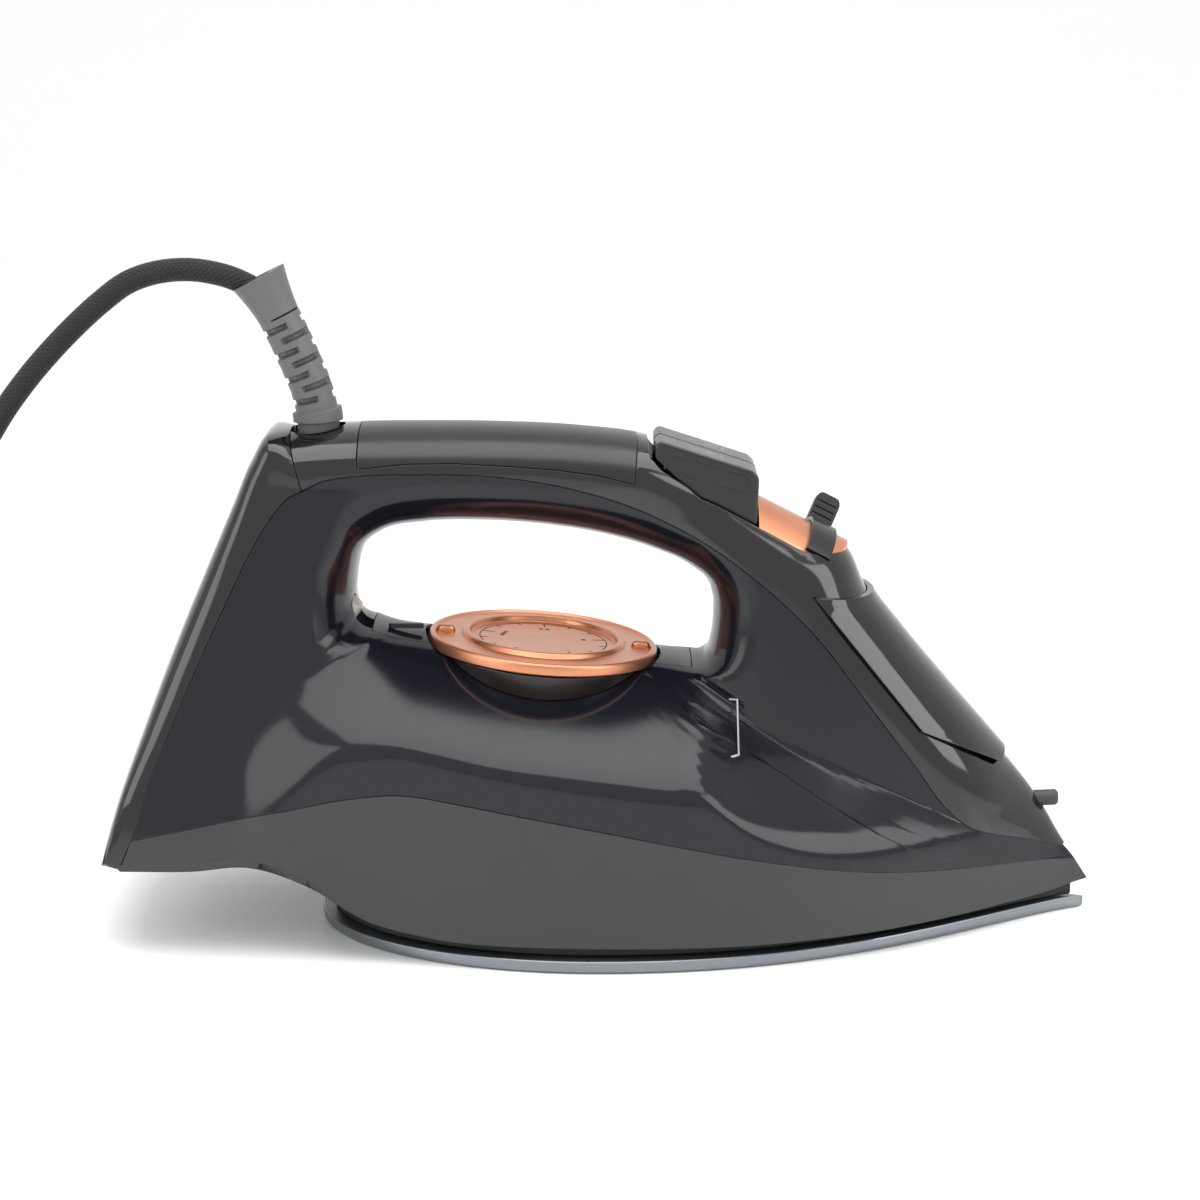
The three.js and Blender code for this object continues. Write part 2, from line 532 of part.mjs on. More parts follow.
const RING_RADIUS = dialRadius * 0.68;
const dial = turned([
  [0, -3.2], [dialRadius - WALL, -3.2], [dialRadius - WALL, -DIAL_RIM], [dialRadius, -DIAL_RIM],
  [dialRadius, -1.4], [dialRadius - 0.5, -0.6], [dialRadius - 1.6, -0.4], [dialRadius - 2.4, -1.2],
  [RING_RADIUS + 1.6, -1.2], [RING_RADIUS + 0.6, 0.4], [RING_RADIUS - 1, 0.4], [RING_RADIUS - 1.5, -1.4],
  [0, -1.4],
], 32);
const finger = (side) => block(5, 2.2, 1, side * (dialRadius - 5), 0, -0.9);
add('temperature_dial', onDial(dial.add(finger(1)).add(finger(-1))), COPPER);
const spindleLow = -3.2 - GAP;
const spindleDrop = DIAL_TOP - upZ(34);
add('dial_spindle', onDial(drum(SPINDLE_DIAMETER / 2, -spindleDrop, spindleLow, 12)), PALE_PLASTIC);
const spindleWay = onDial(drum(SPINDLE_HOLE, -DIAL_TOP, spindleLow, 12));
tankBase = tankBase.subtract(spindleWay).subtract(seatRoom);

// The thermostat stands on the chamber cover under the spindle.
const spindleFoot = onDial(block(0.1, 0.1, 0.1, 0, 0, -spindleDrop)).boundingBox();
const THERMOSTAT_HEIGHT = 9;
const thermostatTop = spindleFoot.min[2] - GAP * 3;
add('thermostat', block(24, 18, THERMOSTAT_HEIGHT, spindleFoot.min[0], 0, thermostatTop - THERMOSTAT_HEIGHT / 2),
  PALE_PLASTIC);
add('thermal_fuse', block(16, 6, 5, spindleFoot.min[0] - 28, 0, CHAMBER_TOP + GAP + 2.5), PALE_PLASTIC);

// ---------------------------------------------------------------- well, buttons and pumps

const WELL_REAR = alongX(13);
const WELL_FRONT = alongX(74);
const WELL_LOW = upZ(104);
function wellOutline(inset) {
  const half = WELL_WIDTH / 2 - inset;
  const points = [];
  const nose = WELL_FRONT - inset;
  const corner = 5 - inset;
  for (let i = 0; i <= 8; i += 1) {
    const angle = -Math.PI / 2 + (i / 8) * Math.PI;
    points.push([nose - 16 + 16 * Math.cos(angle), half * Math.sin(angle)]);
  }
  for (const side of [1, -1]) {
    for (const turn of [0, 0.5, 1]) {
      const angle = (side > 0 ? turn : 1 - turn) * (Math.PI / 2);
      points.push([
        WELL_REAR + inset + corner - corner * Math.sin(angle), side * (half - corner + corner * Math.cos(angle))]);
    }
  }
  return points;
}
cover = cover.subtract(upright(wellOutline(0), WELL_LOW, HEIGHT + 10));

const BUTTON_REAR = WELL_REAR + 2;
const BUTTON_SLOPE = THREE.MathUtils.degToRad(15);
const BUTTON_TOP = upZ(150.6);
const buttonNames = [['spray_button', -1], ['burst_button', 1]];
const PUMP_X = BUTTON_REAR + BUTTON_LENGTH - 3;
const buttonFloor = BUTTON_TOP - Math.tan(BUTTON_SLOPE) * BUTTON_LENGTH - BUTTON_SKIRT;
const PUMP_TOP = buttonFloor - BUTTON_TRAVEL - 3;
const buttonFront = BUTTON_REAR + BUTTON_LENGTH;
const buttonDrop = Math.tan(BUTTON_SLOPE) * BUTTON_LENGTH;
const buttonSide = [
  [BUTTON_REAR, BUTTON_TOP - 1.5], [BUTTON_REAR + 1.5, BUTTON_TOP], [buttonFront - 2.5, BUTTON_TOP - buttonDrop + 1],
  [buttonFront, BUTTON_TOP - buttonDrop - 2], [buttonFront, buttonFloor], [PUMP_X - 5, buttonFloor],
  [BUTTON_REAR + 8, upZ(137)], [BUTTON_REAR, upZ(145)],
];
const buttonCentre = BUTTON_WIDTH / 2 + GAP / 2;
for (const [name, side] of buttonNames) {
  const inner = side * (GAP / 2);
  const outer = side * (GAP / 2 + BUTTON_WIDTH);
  const body = across(buttonSide, Math.min(inner, outer), Math.max(inner, outer));
  add(name, body.intersect(upright(wellOutline(4 * GAP), 0, HEIGHT + 10)), GLOSS_BLACK);
}
const PISTON_REACH = 5;
const pumpSpots = [['spray', -1], ['burst', 1]];
const pistonRadius = PISTON_DIAMETER / 2;
for (const [kind, side] of pumpSpots) {
  const y = side * buttonCentre;
  const piston = drum(pistonRadius, PUMP_TOP - PISTON_REACH, buttonFloor - GAP, 10);
  add(`${kind}_piston`, piston.translate([PUMP_X, y, 0]), PALE_PLASTIC);
  const pump = drum(PUMP_DIAMETER / 2, PUMP_TOP - PUMP_HEIGHT, PUMP_TOP, 16)
    .subtract(drum(pistonRadius + GAP, PUMP_TOP - PISTON_REACH - BUTTON_TRAVEL - 1, PUMP_TOP + 1, 10));
  add(`${kind}_pump`, pump.translate([PUMP_X, y, 0]), PALE_PLASTIC);
  const turns = 4;
  const springLow = PUMP_TOP + GAP + SPRING_WIRE / 2;
  const springHigh = buttonFloor - GAP - SPRING_WIRE / 2;
  const coil = [];
  for (let i = 0; i <= turns * 6; i += 1) {
    const angle = (i / 6) * Math.PI * 2;
    const radius = (SPRING_DIAMETER - SPRING_WIRE) / 2;
    coil.push([radius * Math.cos(angle), radius * Math.sin(angle), springLow + ((springHigh - springLow) * i) / (turns * 6)]);
  }
  add(`${kind}_spring`, bar(coil, SPRING_WIRE / 2, 4, turns * 6).translate([PUMP_X, y, 0]), BRIGHT_STEEL);
}

// ---------------------------------------------------------------- steam slider and drip valve

// A saddle plate bent about an axis that slopes down to the nose; the slider is a band round
// the same axis, with a thumb tab, and reaches on under the cover's rim on the far side.
const SLIDER_X = alongX(56.3);
const PLATE_CROWN = upZ(126.5);
const AXIS_HEIGHT = PLATE_CROWN - REGULATOR_RADIUS / Math.cos(REGULATOR_SLOPE);
const BAND_INNER = REGULATOR_RADIUS + GAP;
const BAND_OUTER = BAND_INNER + 1.2;
// Sectors are drawn round the X axis: 0 degrees is up, positive towards +Y.
function sector(inner, outer, from, to, length, steps = 12) {
  const points = [];
  for (let i = 0; i <= steps; i += 1) {
    const angle = from + ((to - from) * i) / steps;
    points.push([outer * Math.sin(angle), outer * Math.cos(angle)]);
  }
  for (let i = steps; i >= 0; i -= 1) {
    const angle = from + ((to - from) * i) / steps;
    points.push([inner * Math.sin(angle), inner * Math.cos(angle)]);
  }
  const geometry = new THREE.ExtrudeGeometry(shapeOf(points), { depth: length, bevelEnabled: false });
  geometry.translate(0, 0, -length / 2);
  geometry.applyMatrix4(new THREE.Matrix4().set(0, 0, 1, 0, 1, 0, 0, 0, 0, 1, 0, 0, 0, 0, 0, 1));
  return solidFrom(geometry);
}
const onSlope = (solid) => setAt(solid, SLIDER_X, 0, AXIS_HEIGHT, REGULATOR_SLOPE);
const degrees = THREE.MathUtils.degToRad;
const rimAngle = Math.asin((WELL_WIDTH / 2 - 1) / REGULATOR_RADIUS);
const SLIDER_REST = degrees(28);
const SLIDER_RANGE = degrees(50);
const plateRoom = upright(wellOutline(2 * GAP), 0, HEIGHT + 10);
const plateSpan = sector(REGULATOR_RADIUS - PLATE_THICKNESS, REGULATOR_RADIUS, -rimAngle, rimAngle, 60, 16);
const plate = onSlope(plateSpan)
  .intersect(plateRoom)
  .intersect(block(60, WIDTH, HEIGHT, buttonFront + 4 * GAP + 30, 0, HEIGHT / 2));
const bandFrom = -rimAngle + degrees(3);
const bandTo = rimAngle + SLIDER_RANGE;
const band = sector(BAND_INNER, BAND_OUTER, bandFrom, bandTo, SLIDER_WIDTH, 20);
const tab = block(SLIDER_WIDTH, 2.2, 11, 0, 0, BAND_OUTER + 5).rotate([-THREE.MathUtils.radToDeg(SLIDER_REST), 0, 0]);
const leverSolid = onSlope(band.add(tab));
const sliderWay = onSlope(sector(
  REGULATOR_RADIUS, BAND_OUTER + GAP, bandFrom - SLIDER_RANGE - degrees(4), bandTo + degrees(4), SLIDER_WIDTH + 4 * GAP, 24));
cover = cover.subtract(sliderWay);
tank = tank.subtract(sliderWay);
add('regulator_plate', plate, COPPER);
add('steam_regulator', leverSolid, GLOSS_BLACK);

const VALVE_TOP = upZ(92);
const VALVE_LOW = upZ(44);
const SEAT_TOP = upZ(48);
add('drip_valve_rod', drum(VALVE_ROD / 2, VALVE_LOW, VALVE_TOP, 10).translate([VALVE_X, 0, 0]), BRASS);
const valveSeat = drum(5, CHAMBER_TOP + GAP, SEAT_TOP, 14)
  .subtract(drum(VALVE_ROD / 2 + GAP, VALVE_LOW - 3, SEAT_TOP + 1, 10))
  .subtract(drum(1, 0, VALVE_LOW, 8))
  .translate([VALVE_X, 0, 0]);
add('drip_valve_seat', valveSeat, BRASS);
tankBase = tankBase.subtract(drum(5 + GAP, 0, HEIGHT, 14).translate([VALVE_X, 0, 0]));

// ---------------------------------------------------------------- filler lid

const LID_THICKNESS = 1.6;
const lidPoints = (grow) => drawn([
  [62.6 - grow, 105 + grow * 0.4], [95.4 - grow, 64.4 - grow], [106, 59.6 - grow], [113.8, 55.6 - grow],
  [121.4, 51.2 - grow], [130 + grow, 60], [100, 112 + grow], [82, 103.2 + grow], [72, 103.8 + grow],
]);
const lidLayer = bodySkin(-GAP - LID_THICKNESS).subtract(bodySkin(-GAP));
const HINGE = { x: alongX(119.6), z: upZ(53.8), radius: 2, pin: 0.9, length: 12 };
const rodAcross = (radius, length, x, z, sides = 12) =>
  drum(radius, -length / 2, length / 2, sides).rotate([90, 0, 0]).translate([x, 0, z]);
const knuckle = rodAcross(HINGE.radius, HINGE.length, HINGE.x, HINGE.z, 16);
const knuckleRoom = rodAcross(HINGE.radius + GAP, HINGE.length + 2 * GAP, HINGE.x, HINGE.z, 16);
const pinHole = rodAcross(HINGE.pin + GAP, HINGE.length + 8, HINGE.x, HINGE.z);
// Nothing of the flap but its knuckle lies before the hinge, so that it opens clear of the cover.
const pastHinge = block(40, WIDTH, HEIGHT, HINGE.x + 20 - HINGE.radius, 0, HEIGHT / 2);
const flap = lidLayer.intersect(across(lidPoints(0))).subtract(pastHinge);
const hingeLeaf = block(HINGE.radius + 2, HINGE.length, 1.2, HINGE.x - HINGE.radius, 0, HINGE.z + 1.2);
const lid = flap.add(knuckle).add(hingeLeaf).subtract(pinHole);
add('lid_hinge_pin', rodAcross(HINGE.pin, HINGE.length + 6, HINGE.x, HINGE.z), BRIGHT_STEEL);
cover = cover.subtract(knuckleRoom).subtract(pinHole);

// The filler opening is a round neck square to the front of the cover.
const NECK = { x: alongX(84), z: upZ(90), tilt: degrees(52), radius: 8 };
const onNeck = (solid) => setAt(solid, NECK.x, 0, NECK.z, NECK.tilt);
const lidMoving = lid.decompose().sort((a, b) => b.volume() - a.volume())[0];
const coverThrough = onNeck(drum(NECK.radius, -16, 30, 18));
cover = cover.subtract(coverThrough);
const neck = onNeck(ringOf(NECK.radius - WALL, NECK.radius - GAP, -14, 30, 16))
  .intersect(bodySkin(GAP));
add('filler_neck', neck, DARK_PLASTIC);
const sealSolid = onNeck(drum(NECK.radius - WALL - GAP, -3, 30, 16)).intersect(bodySkin(0));
const sealBody = sealSolid.subtract(onNeck(drum(30, -40, -1, 8)));
add('lid_seal', sealBody, SILICONE);
add('filler_lid', lidMoving, GLOSS_BLACK);

// ---------------------------------------------------------------- nozzle and hoses

const NOZZLE = { x: alongX(126), z: upZ(35.6), length: 15 };
const nozzle = setAt(drum(NOZZLE_DIAMETER / 2, 0, NOZZLE.length, 12)
  .subtract(drum(0.6, NOZZLE.length - 5, NOZZLE.length + 1, 8)), NOZZLE.x, 0, NOZZLE.z, degrees(88));
const nozzleHole = setAt(drum(NOZZLE_DIAMETER / 2 + GAP, -GAP, NOZZLE.length + 10, 12), NOZZLE.x, 0, NOZZLE.z, degrees(88));
cover = cover.subtract(nozzleHole);
tank = tank.subtract(nozzleHole);
add('spray_nozzle', nozzle, GLOSS_BLACK);

// ---------------------------------------------------------------- cord guard and its socket

// The lead starts inside the guard, arches backwards and falls to the ground.
const LEAD = [
  [-98.2, 0, 188.3], [-102.3, 0, 192.7], [-107.4, 0, 195.8], [-113.6, 0, 198.2], [-123.3, 0, 199.8], [-133.2, 0, 199],
  [-142, 0, 196], [-149.6, 0, 190.6], [-157.6, 0, 183.6], [-166, 0, 175.2], [-174, 0, 166.1],
  [-182, -0.5, 155.2], [-194, -2, 134], [-206, -5, 108], [-217, -8, 80], [-228, -11, 50],
];

const GUARD_LINE = [
  [-86.2, 147], [-86.2, 156], [-88, 164.5], [-91.3, 173], [-95, 181.5], [-98.8, 189.4], [-103, 197.6],
].map(([x, z]) => [alongX(x), 0, z - SHEET.height + HEIGHT]);
const BALL_CENTRE = GUARD_LINE[0];
const ballRadius = BALL_DIAMETER / 2;
const guardTube = bar(GUARD_LINE, 6.3, 10, 10);
const ball = new THREE.SphereGeometry(ballRadius, 12, 8).rotateX(Math.PI / 2);
const mouthStart = GUARD_LINE[5];
const mouthEnd = GUARD_LINE[6];
const mouthTilt = Math.atan2(mouthEnd[0] - mouthStart[0], mouthEnd[2] - mouthStart[2]);
const mouth = setAt(turned([[0, -1], [6.3, -1], [GUARD_MOUTH / 2, 8.4], [0, 8.4]], 16), ...mouthStart, mouthTilt);
const collar = setAt(turned([[0, 0], [7, 0], [7, 2.6], [6.3, 3.4], [0, 3.4]], 16), BALL_CENTRE[0], 0, BALL_CENTRE[2] + 7.4);
const guard = guardTube.add(placed(ball, ...BALL_CENTRE)).add(collar).add(mouth);
const guardTop = setAt(block(40, 40, 20, 0, 0, 18.4), ...mouthStart, mouthTilt);
const cordRadius = CORD_DIAMETER / 2;
add('cord_swivel', guard.subtract(guardTop).subtract(bar(LEAD.slice(0, 6), cordRadius + 2 * GAP, 8, 8)), RUBBER);
const SWIVEL_REACH = degrees(35);
const socketRoom = placed(new THREE.SphereGeometry(ballRadius + GAP, 12, 8).rotateX(Math.PI / 2), ...BALL_CENTRE);
const sweep = [0, -0.5, 0.5, -1, 1].map((share) => setAt(
  turned([[0, 0], [7 + GAP, 0], [8, 30], [0, 30]], 16), ...BALL_CENTRE, share * SWIVEL_REACH));
let socketClear = socketRoom;
for (const cone of sweep) socketClear = socketClear.add(cone);
cover = cover.subtract(socketClear);
rearCover = rearCover.subtract(socketClear);
// A saddle under the ball carries it inside the handle.
const cradle = setAt(turned([
  [0, -13], [10, -13], [10, -3], [ballRadius + GAP - 0.6, -3], [ballRadius + GAP - 3, -7.2], [0, -9],
], 16), ...BALL_CENTRE).subtract(socketRoom);
const cradleFits = cradle.intersect(bodySkin(WALL + GAP));
add('ball_cradle', cradleFits, DARK_PLASTIC);

// ---------------------------------------------------------------- handle grip

const gripSide = (grow) => drawn([
  [-73 - grow, 143.2 - grow], [-59, 144.7 - grow], [-44, 144.9 - grow],
  [-29, 144.1 - grow], [-13, 142.9 - grow], [-1, 141.2 - grow], [9, 138.6 - grow], [10.5 + grow, 160],
  [-73 - grow, 160],
]);
const grip = cover.intersect(across(gripSide(-GAP)));
cover = cover.subtract(across(gripSide(0)));
add('handle_grip', grip, SATIN_GREY);

// ---------------------------------------------------------------- inside the columns and handle

const LENS = { x: alongX(-76.8), y: acrossY(-5.3), z: upZ(96.6), radius: 4.6, turn: 40 };
const lensAt = (solid, grow = 0) => solid
  .rotate([0, 90, 0]).translate([-grow, 0, 0]).rotate([0, 0, -LENS.turn]).translate([LENS.x, LENS.y, LENS.z]);
tank = tank.subtract(lensAt(drum(LENS.radius + GAP, -8, 8, 16)));
add('pilot_lens', lensAt(drum(LENS.radius, -3.2, 0.4, 16)), CLEAR);
add('pilot_lamp', lensAt(drum(2.4, -12, -3.6, 10)), CLEAR);

const TERMINAL = [alongX(-108), 0, upZ(84)];
add('terminal_block', block(12, 30, 16, ...TERMINAL), PALE_PLASTIC);
const CLAMP = [alongX(-96), 0, upZ(118)];
add('cord_clamp', block(10, 20, 8, ...CLAMP), PALE_PLASTIC);
const wireEnd = (side) => [alongX(-84), side * 14, CASTING_TOP + 12];
for (const [name, side] of [['live_wire', -1], ['neutral_wire', 1]]) {
  add(name, bar([
    [TERMINAL[0] - 2, side * 10, TERMINAL[2] - 8 - GAP], [TERMINAL[0] - 4, side * 11, upZ(66)],
    [alongX(-104), side * 12, upZ(56)],
  ], 1.5, 6, 6), side < 0 ? finish(0x6b3a22, 0.6) : finish(0x2c4f86, 0.6));
  add(name.replace('wire', 'lead'), bar([
    [alongX(-104), side * 16, upZ(38)], [alongX(-96), side * 16, upZ(34)], wireEnd(side),
  ], 1.5, 6, 6), side < 0 ? finish(0x6b3a22, 0.6) : finish(0x2c4f86, 0.6));
}
add('inner_cord', bar([
  [CLAMP[0], 0, CLAMP[2] - 4 - GAP], [CLAMP[0], 0, CLAMP[2] - 8], [TERMINAL[0], 0, TERMINAL[2] + 13],
  [TERMINAL[0], 0, TERMINAL[2] + 8 + GAP],
], 3, 8, 6), BRAID);
add('nozzle_hose', bar([
  [alongX(52), -8, upZ(108)], [alongX(62), -8, upZ(90)], [alongX(76), -8, upZ(70)], [alongX(92), -4, upZ(52)],
], HOSE_DIAMETER / 2, 8, 10), CLEAR);
add('burst_hose', bar([
  [alongX(46), 8, upZ(98)], [alongX(50), 8, upZ(86)], [alongX(50), 8, upZ(72)], [alongX(50), 9, upZ(62)],
], HOSE_DIAMETER / 2, 8, 10), CLEAR);

// Screws up through the skirt's heel, the rear cover and the clamp.
const screw = (length) => drum(SCREW_DIAMETER / 2, 0, length, 10).add(drum(SCREW_DIAMETER * 0.9, -2, 0.1, 12));
const screwRoom = (length) => drum(SCREW_DIAMETER / 2 + GAP, -1, length, 10).add(drum(SCREW_DIAMETER * 0.9 + GAP, -9, GAP, 12));
const HEEL_SCREW = { x: alongX(-120), y: acrossY(26), z: upZ(30.4), length: 5 };
for (const [name, side] of [['heel_screw_right', -1], ['heel_screw_left', 1]]) {
  skirt = skirt.subtract(screwRoom(HEEL_SCREW.length + 1).translate([HEEL_SCREW.x, side * HEEL_SCREW.y, HEEL_SCREW.z]));
  add(name, screw(HEEL_SCREW.length).translate([HEEL_SCREW.x, side * HEEL_SCREW.y, HEEL_SCREW.z]), BRIGHT_STEEL);
}

for (const side of [1, -1]) {
  const pumpRoom = drum(PUMP_DIAMETER / 2 + GAP, PUMP_TOP - PUMP_HEIGHT, PUMP_TOP, 16);
  tank = tank.subtract(pumpRoom.translate([PUMP_X, side * buttonCentre, 0]));
}
add('water_tank', tank, SMOKE);
add('tank_base', tankBase, DARK_PLASTIC);
add('handle_cover', cover, GLOSS_BLACK);
add('lower_housing', skirt, SATIN_GREY);
add('rear_cover', rearCover, GLOSS_BLACK);

// ---------------------------------------------------------------- the lead, its coil and the plug

// The lead's end lies on the coil; the coil's tail runs to the plug.
const LEAD_END = [-238, -13.5, 26];
add('cord_tube', bar([...LEAD, LEAD_END], cordRadius, 8, 34), BRAID);

const COIL = { x: -262, y: 30, inner: 28, outer: 48, height: 2 * CORD_DIAMETER };
add('cord_coil', ringOf(COIL.inner - cordRadius, COIL.outer + cordRadius, 0, COIL.height, 36)
  .translate([COIL.x, COIL.y, 0]), BRAID);
const PLUG = { x: -276, y: -44, z: 17.5, radius: 17, length: 34, pin: 2.4, pinLength: 19, spacing: 19 };
const BOOT_LENGTH = 24;
add('cord_tail', bar([
  [-209.2, 4, 3.8], [-210.4, -7, 3.6], [-214, -19, 3.6], [-220.6, -31, 4.4], [-229, -39, 8.4], [-237, -42.6, 13.6],
  [PLUG.x + BOOT_LENGTH + 8, PLUG.y, PLUG.z - 0.6], [PLUG.x + BOOT_LENGTH + 3 * GAP, PLUG.y, PLUG.z],
], cordRadius, 8, 16), BRAID);
const alongPlug = (solid) => solid.rotate([0, -90, 0]).translate([PLUG.x, PLUG.y, PLUG.z]);
add('plug_boot', alongPlug(turned([
  [0, -BOOT_LENGTH], [5, -BOOT_LENGTH], [8.5, -GAP], [0, -GAP]], 14)), DARK_PLASTIC);
let plugBody = turned([
  [0, 0], [9, 0], [12, 4], [PLUG.radius - 2, 12], [PLUG.radius, 20], [PLUG.radius, PLUG.length - 1], [PLUG.radius - 1, PLUG.length],
  [0, PLUG.length]], 20);
for (const side of [-1, 1]) {
  plugBody = plugBody.subtract(drum(PLUG.pin + GAP, PLUG.length - 8, PLUG.length + 1, 10).translate([0, (side * PLUG.spacing) / 2, 0]));
}
add('plug_body', alongPlug(plugBody), DARK_PLASTIC);
for (const [name, side] of [['plug_pin_right', -1], ['plug_pin_left', 1]]) {
  add(name, alongPlug(drum(PLUG.pin, PLUG.length - 7, PLUG.length + PLUG.pinLength, 10)
    .translate([0, (side * PLUG.spacing) / 2, 0])), BRIGHT_STEEL);
}

export default iron;
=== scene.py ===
import json
import math

import bmesh
import bpy
import numpy as np
from mathutils import Matrix, Vector


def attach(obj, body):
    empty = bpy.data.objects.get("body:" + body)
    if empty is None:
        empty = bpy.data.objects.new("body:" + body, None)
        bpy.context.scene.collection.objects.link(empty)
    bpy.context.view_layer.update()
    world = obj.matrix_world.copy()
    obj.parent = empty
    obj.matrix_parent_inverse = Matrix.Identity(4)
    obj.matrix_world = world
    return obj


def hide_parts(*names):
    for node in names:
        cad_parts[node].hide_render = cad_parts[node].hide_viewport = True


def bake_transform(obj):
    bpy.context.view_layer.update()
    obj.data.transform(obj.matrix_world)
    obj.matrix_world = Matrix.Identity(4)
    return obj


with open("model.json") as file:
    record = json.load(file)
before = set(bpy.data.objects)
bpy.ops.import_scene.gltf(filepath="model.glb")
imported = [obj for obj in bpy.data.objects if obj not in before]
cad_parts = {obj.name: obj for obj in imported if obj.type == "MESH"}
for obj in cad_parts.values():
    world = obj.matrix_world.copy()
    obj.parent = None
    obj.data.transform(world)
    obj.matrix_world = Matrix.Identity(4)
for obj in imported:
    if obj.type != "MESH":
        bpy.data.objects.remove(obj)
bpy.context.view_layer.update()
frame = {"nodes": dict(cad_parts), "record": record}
nodes = frame["nodes"]
scene = bpy.context.scene

# ------------------------------------------------------------------ camera, light and ground
# A square-on studio view from 0.83 m, looking 13 degrees down on the side of the iron. One wide
# softbox hangs overhead, two stand at the sides, and the ground is a pale satin sweep.

PITCH = math.radians(13)
camera = bpy.data.objects.new("camera", bpy.data.cameras.new("camera"))
camera.location = (-0.00125, -0.8282, 0.2901)
camera.rotation_euler = (math.pi / 2 - PITCH, 0, 0)
camera.data.lens = 83.4
camera.data.sensor_width = 36
camera.data.clip_start = 0.05
scene.collection.objects.link(camera)
scene.camera = camera
scene.view_settings.view_transform = "Standard"


def color(code):
    """Linear RGBA of an sRGB hex code: c/12.92 below 0.04045, else ((c + 0.055)/1.055)^2.4."""
    parts = [int(code[i : i + 2], 16) / 255 for i in (1, 3, 5)]
    linear = [c / 12.92 if c < 0.04045 else ((c + 0.055) / 1.055) ** 2.4 for c in parts]
    return (*linear, 1.0)


def node(tree, kind, settings=None, **inputs):
    """Adds one shader node; inputs are named sockets, given a constant or another socket."""
    made = tree.nodes.new("ShaderNode" + kind)
    for key, value in (settings or {}).items():
        setattr(made, key, value)
    for key, value in inputs.items():
        socket = made.inputs[int(key[1:]) if key[0] == "_" else key.replace("_", " ")]
        if isinstance(value, bpy.types.NodeSocket):
            tree.links.new(value, socket)
        else:
            socket.default_value = value
    return made


def new_material(name):
    """An empty node material and its tree."""
    made = bpy.data.materials.new(name)
    made.use_nodes = True
    made.node_tree.nodes.clear()
    return made, made.node_tree


def softbox(name, place, aim, width, height, power):
    """A rectangular lamp in metres and watts, facing aim."""
    light = bpy.data.lights.new(name, "AREA")
    light.shape = "RECTANGLE"
    light.size = width
    light.size_y = height
    light.energy = power
    lamp = bpy.data.objects.new(name, light)
    lamp.location = place
    lamp.rotation_euler = (Vector(aim) - Vector(place)).to_track_quat("-Z", "Y").to_euler()
    scene.collection.objects.link(lamp)


softbox("softbox_top", (0.05, -0.15, 1.1), (0, 0, 0.05), 1.3, 0.9, 11)
softbox("softbox_left", (-1.0, -0.75, 0.55), (-0.02, 0, 0.08), 0.7, 0.9, 5)
softbox("softbox_right", (1.05, -0.6, 0.7), (0.03, 0, 0.08), 0.6, 0.9, 6)

world = bpy.data.worlds.new("studio")
world.use_nodes = True
world.node_tree.nodes["Background"].inputs["Color"].default_value = color("#ffffff")
world.node_tree.nodes["Background"].inputs["Strength"].default_value = 0.95
scene.world = world

ground_material, tree = new_material("ground")
shader = node(tree, "BsdfPrincipled", Base_Color=color("#fbfbfb"), Roughness=0.28)
shader.inputs["Specular IOR Level"].default_value = 0.35
node(tree, "OutputMaterial", Surface=shader.outputs[0])
SWEEP_FRONT = -3.0
SWEEP_BACK = 1.6
SWEEP_RADIUS = 1.2
profile = [(SWEEP_FRONT, 0.0), (SWEEP_BACK, 0.0)]
for i in range(1, 25):
    turn = i / 24 * math.pi / 2
    back = SWEEP_BACK + SWEEP_RADIUS * math.sin(turn)
    profile.append((back, SWEEP_RADIUS * (1 - math.cos(turn))))
profile.append((SWEEP_BACK + SWEEP_RADIUS, 4.0))
ground_mesh = bpy.data.meshes.new("ground")
ground_mesh.from_pydata(
    [(side, y, z) for y, z in profile for side in (-4.0, 4.0)],
    [],
    [(2 * i, 2 * i + 1, 2 * i + 3, 2 * i + 2) for i in range(len(profile) - 1)],
)
ground_mesh.materials.append(ground_material)
ground_mesh.shade_smooth()
ground = bpy.data.objects.new("ground", ground_mesh)
scene.collection.objects.link(ground)

# ------------------------------------------------------------------ mesh helpers
# Shapes are worked out in millimetres as point grids and turned into meshes in metres. A mesh
# keeps its place in its vertices, so every object stands at the origin.

MM = 0.001


def build(name, points, faces, body, finish, stands_for=(), crease=35, uv=None):
    """One piece from points in mm and faces, riding on a body with a finish."""
    mesh = bpy.data.meshes.new(name)
    mesh.from_pydata((np.asarray(points, float) * MM).tolist(), [], faces)
    mesh.update()
    if uv is not None:
        layer = mesh.uv_layers.new(name="along")
        corner = np.zeros(len(mesh.loops), np.int64)
        mesh.loops.foreach_get("vertex_index", corner)
        layer.data.foreach_set("uv", np.asarray(uv, np.float32)[corner].ravel())
    piece = bpy.data.objects.new(name, mesh)
    scene.collection.objects.link(piece)
    return finish_piece(piece, body, finish, stands_for, crease)


def finish_piece(piece, body, finish, stands_for=(), crease=35):
    """Shades a piece smooth up to a crease angle, gives it its finish and lets it ride a body."""
    piece.data.shade_smooth()
    piece.data.set_sharp_from_angle(angle=math.radians(crease))
    piece.data.materials.clear()
    piece.data.materials.append(finish)
    if body:
        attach(piece, body)
    if stands_for:
        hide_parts(*stands_for)
    return piece


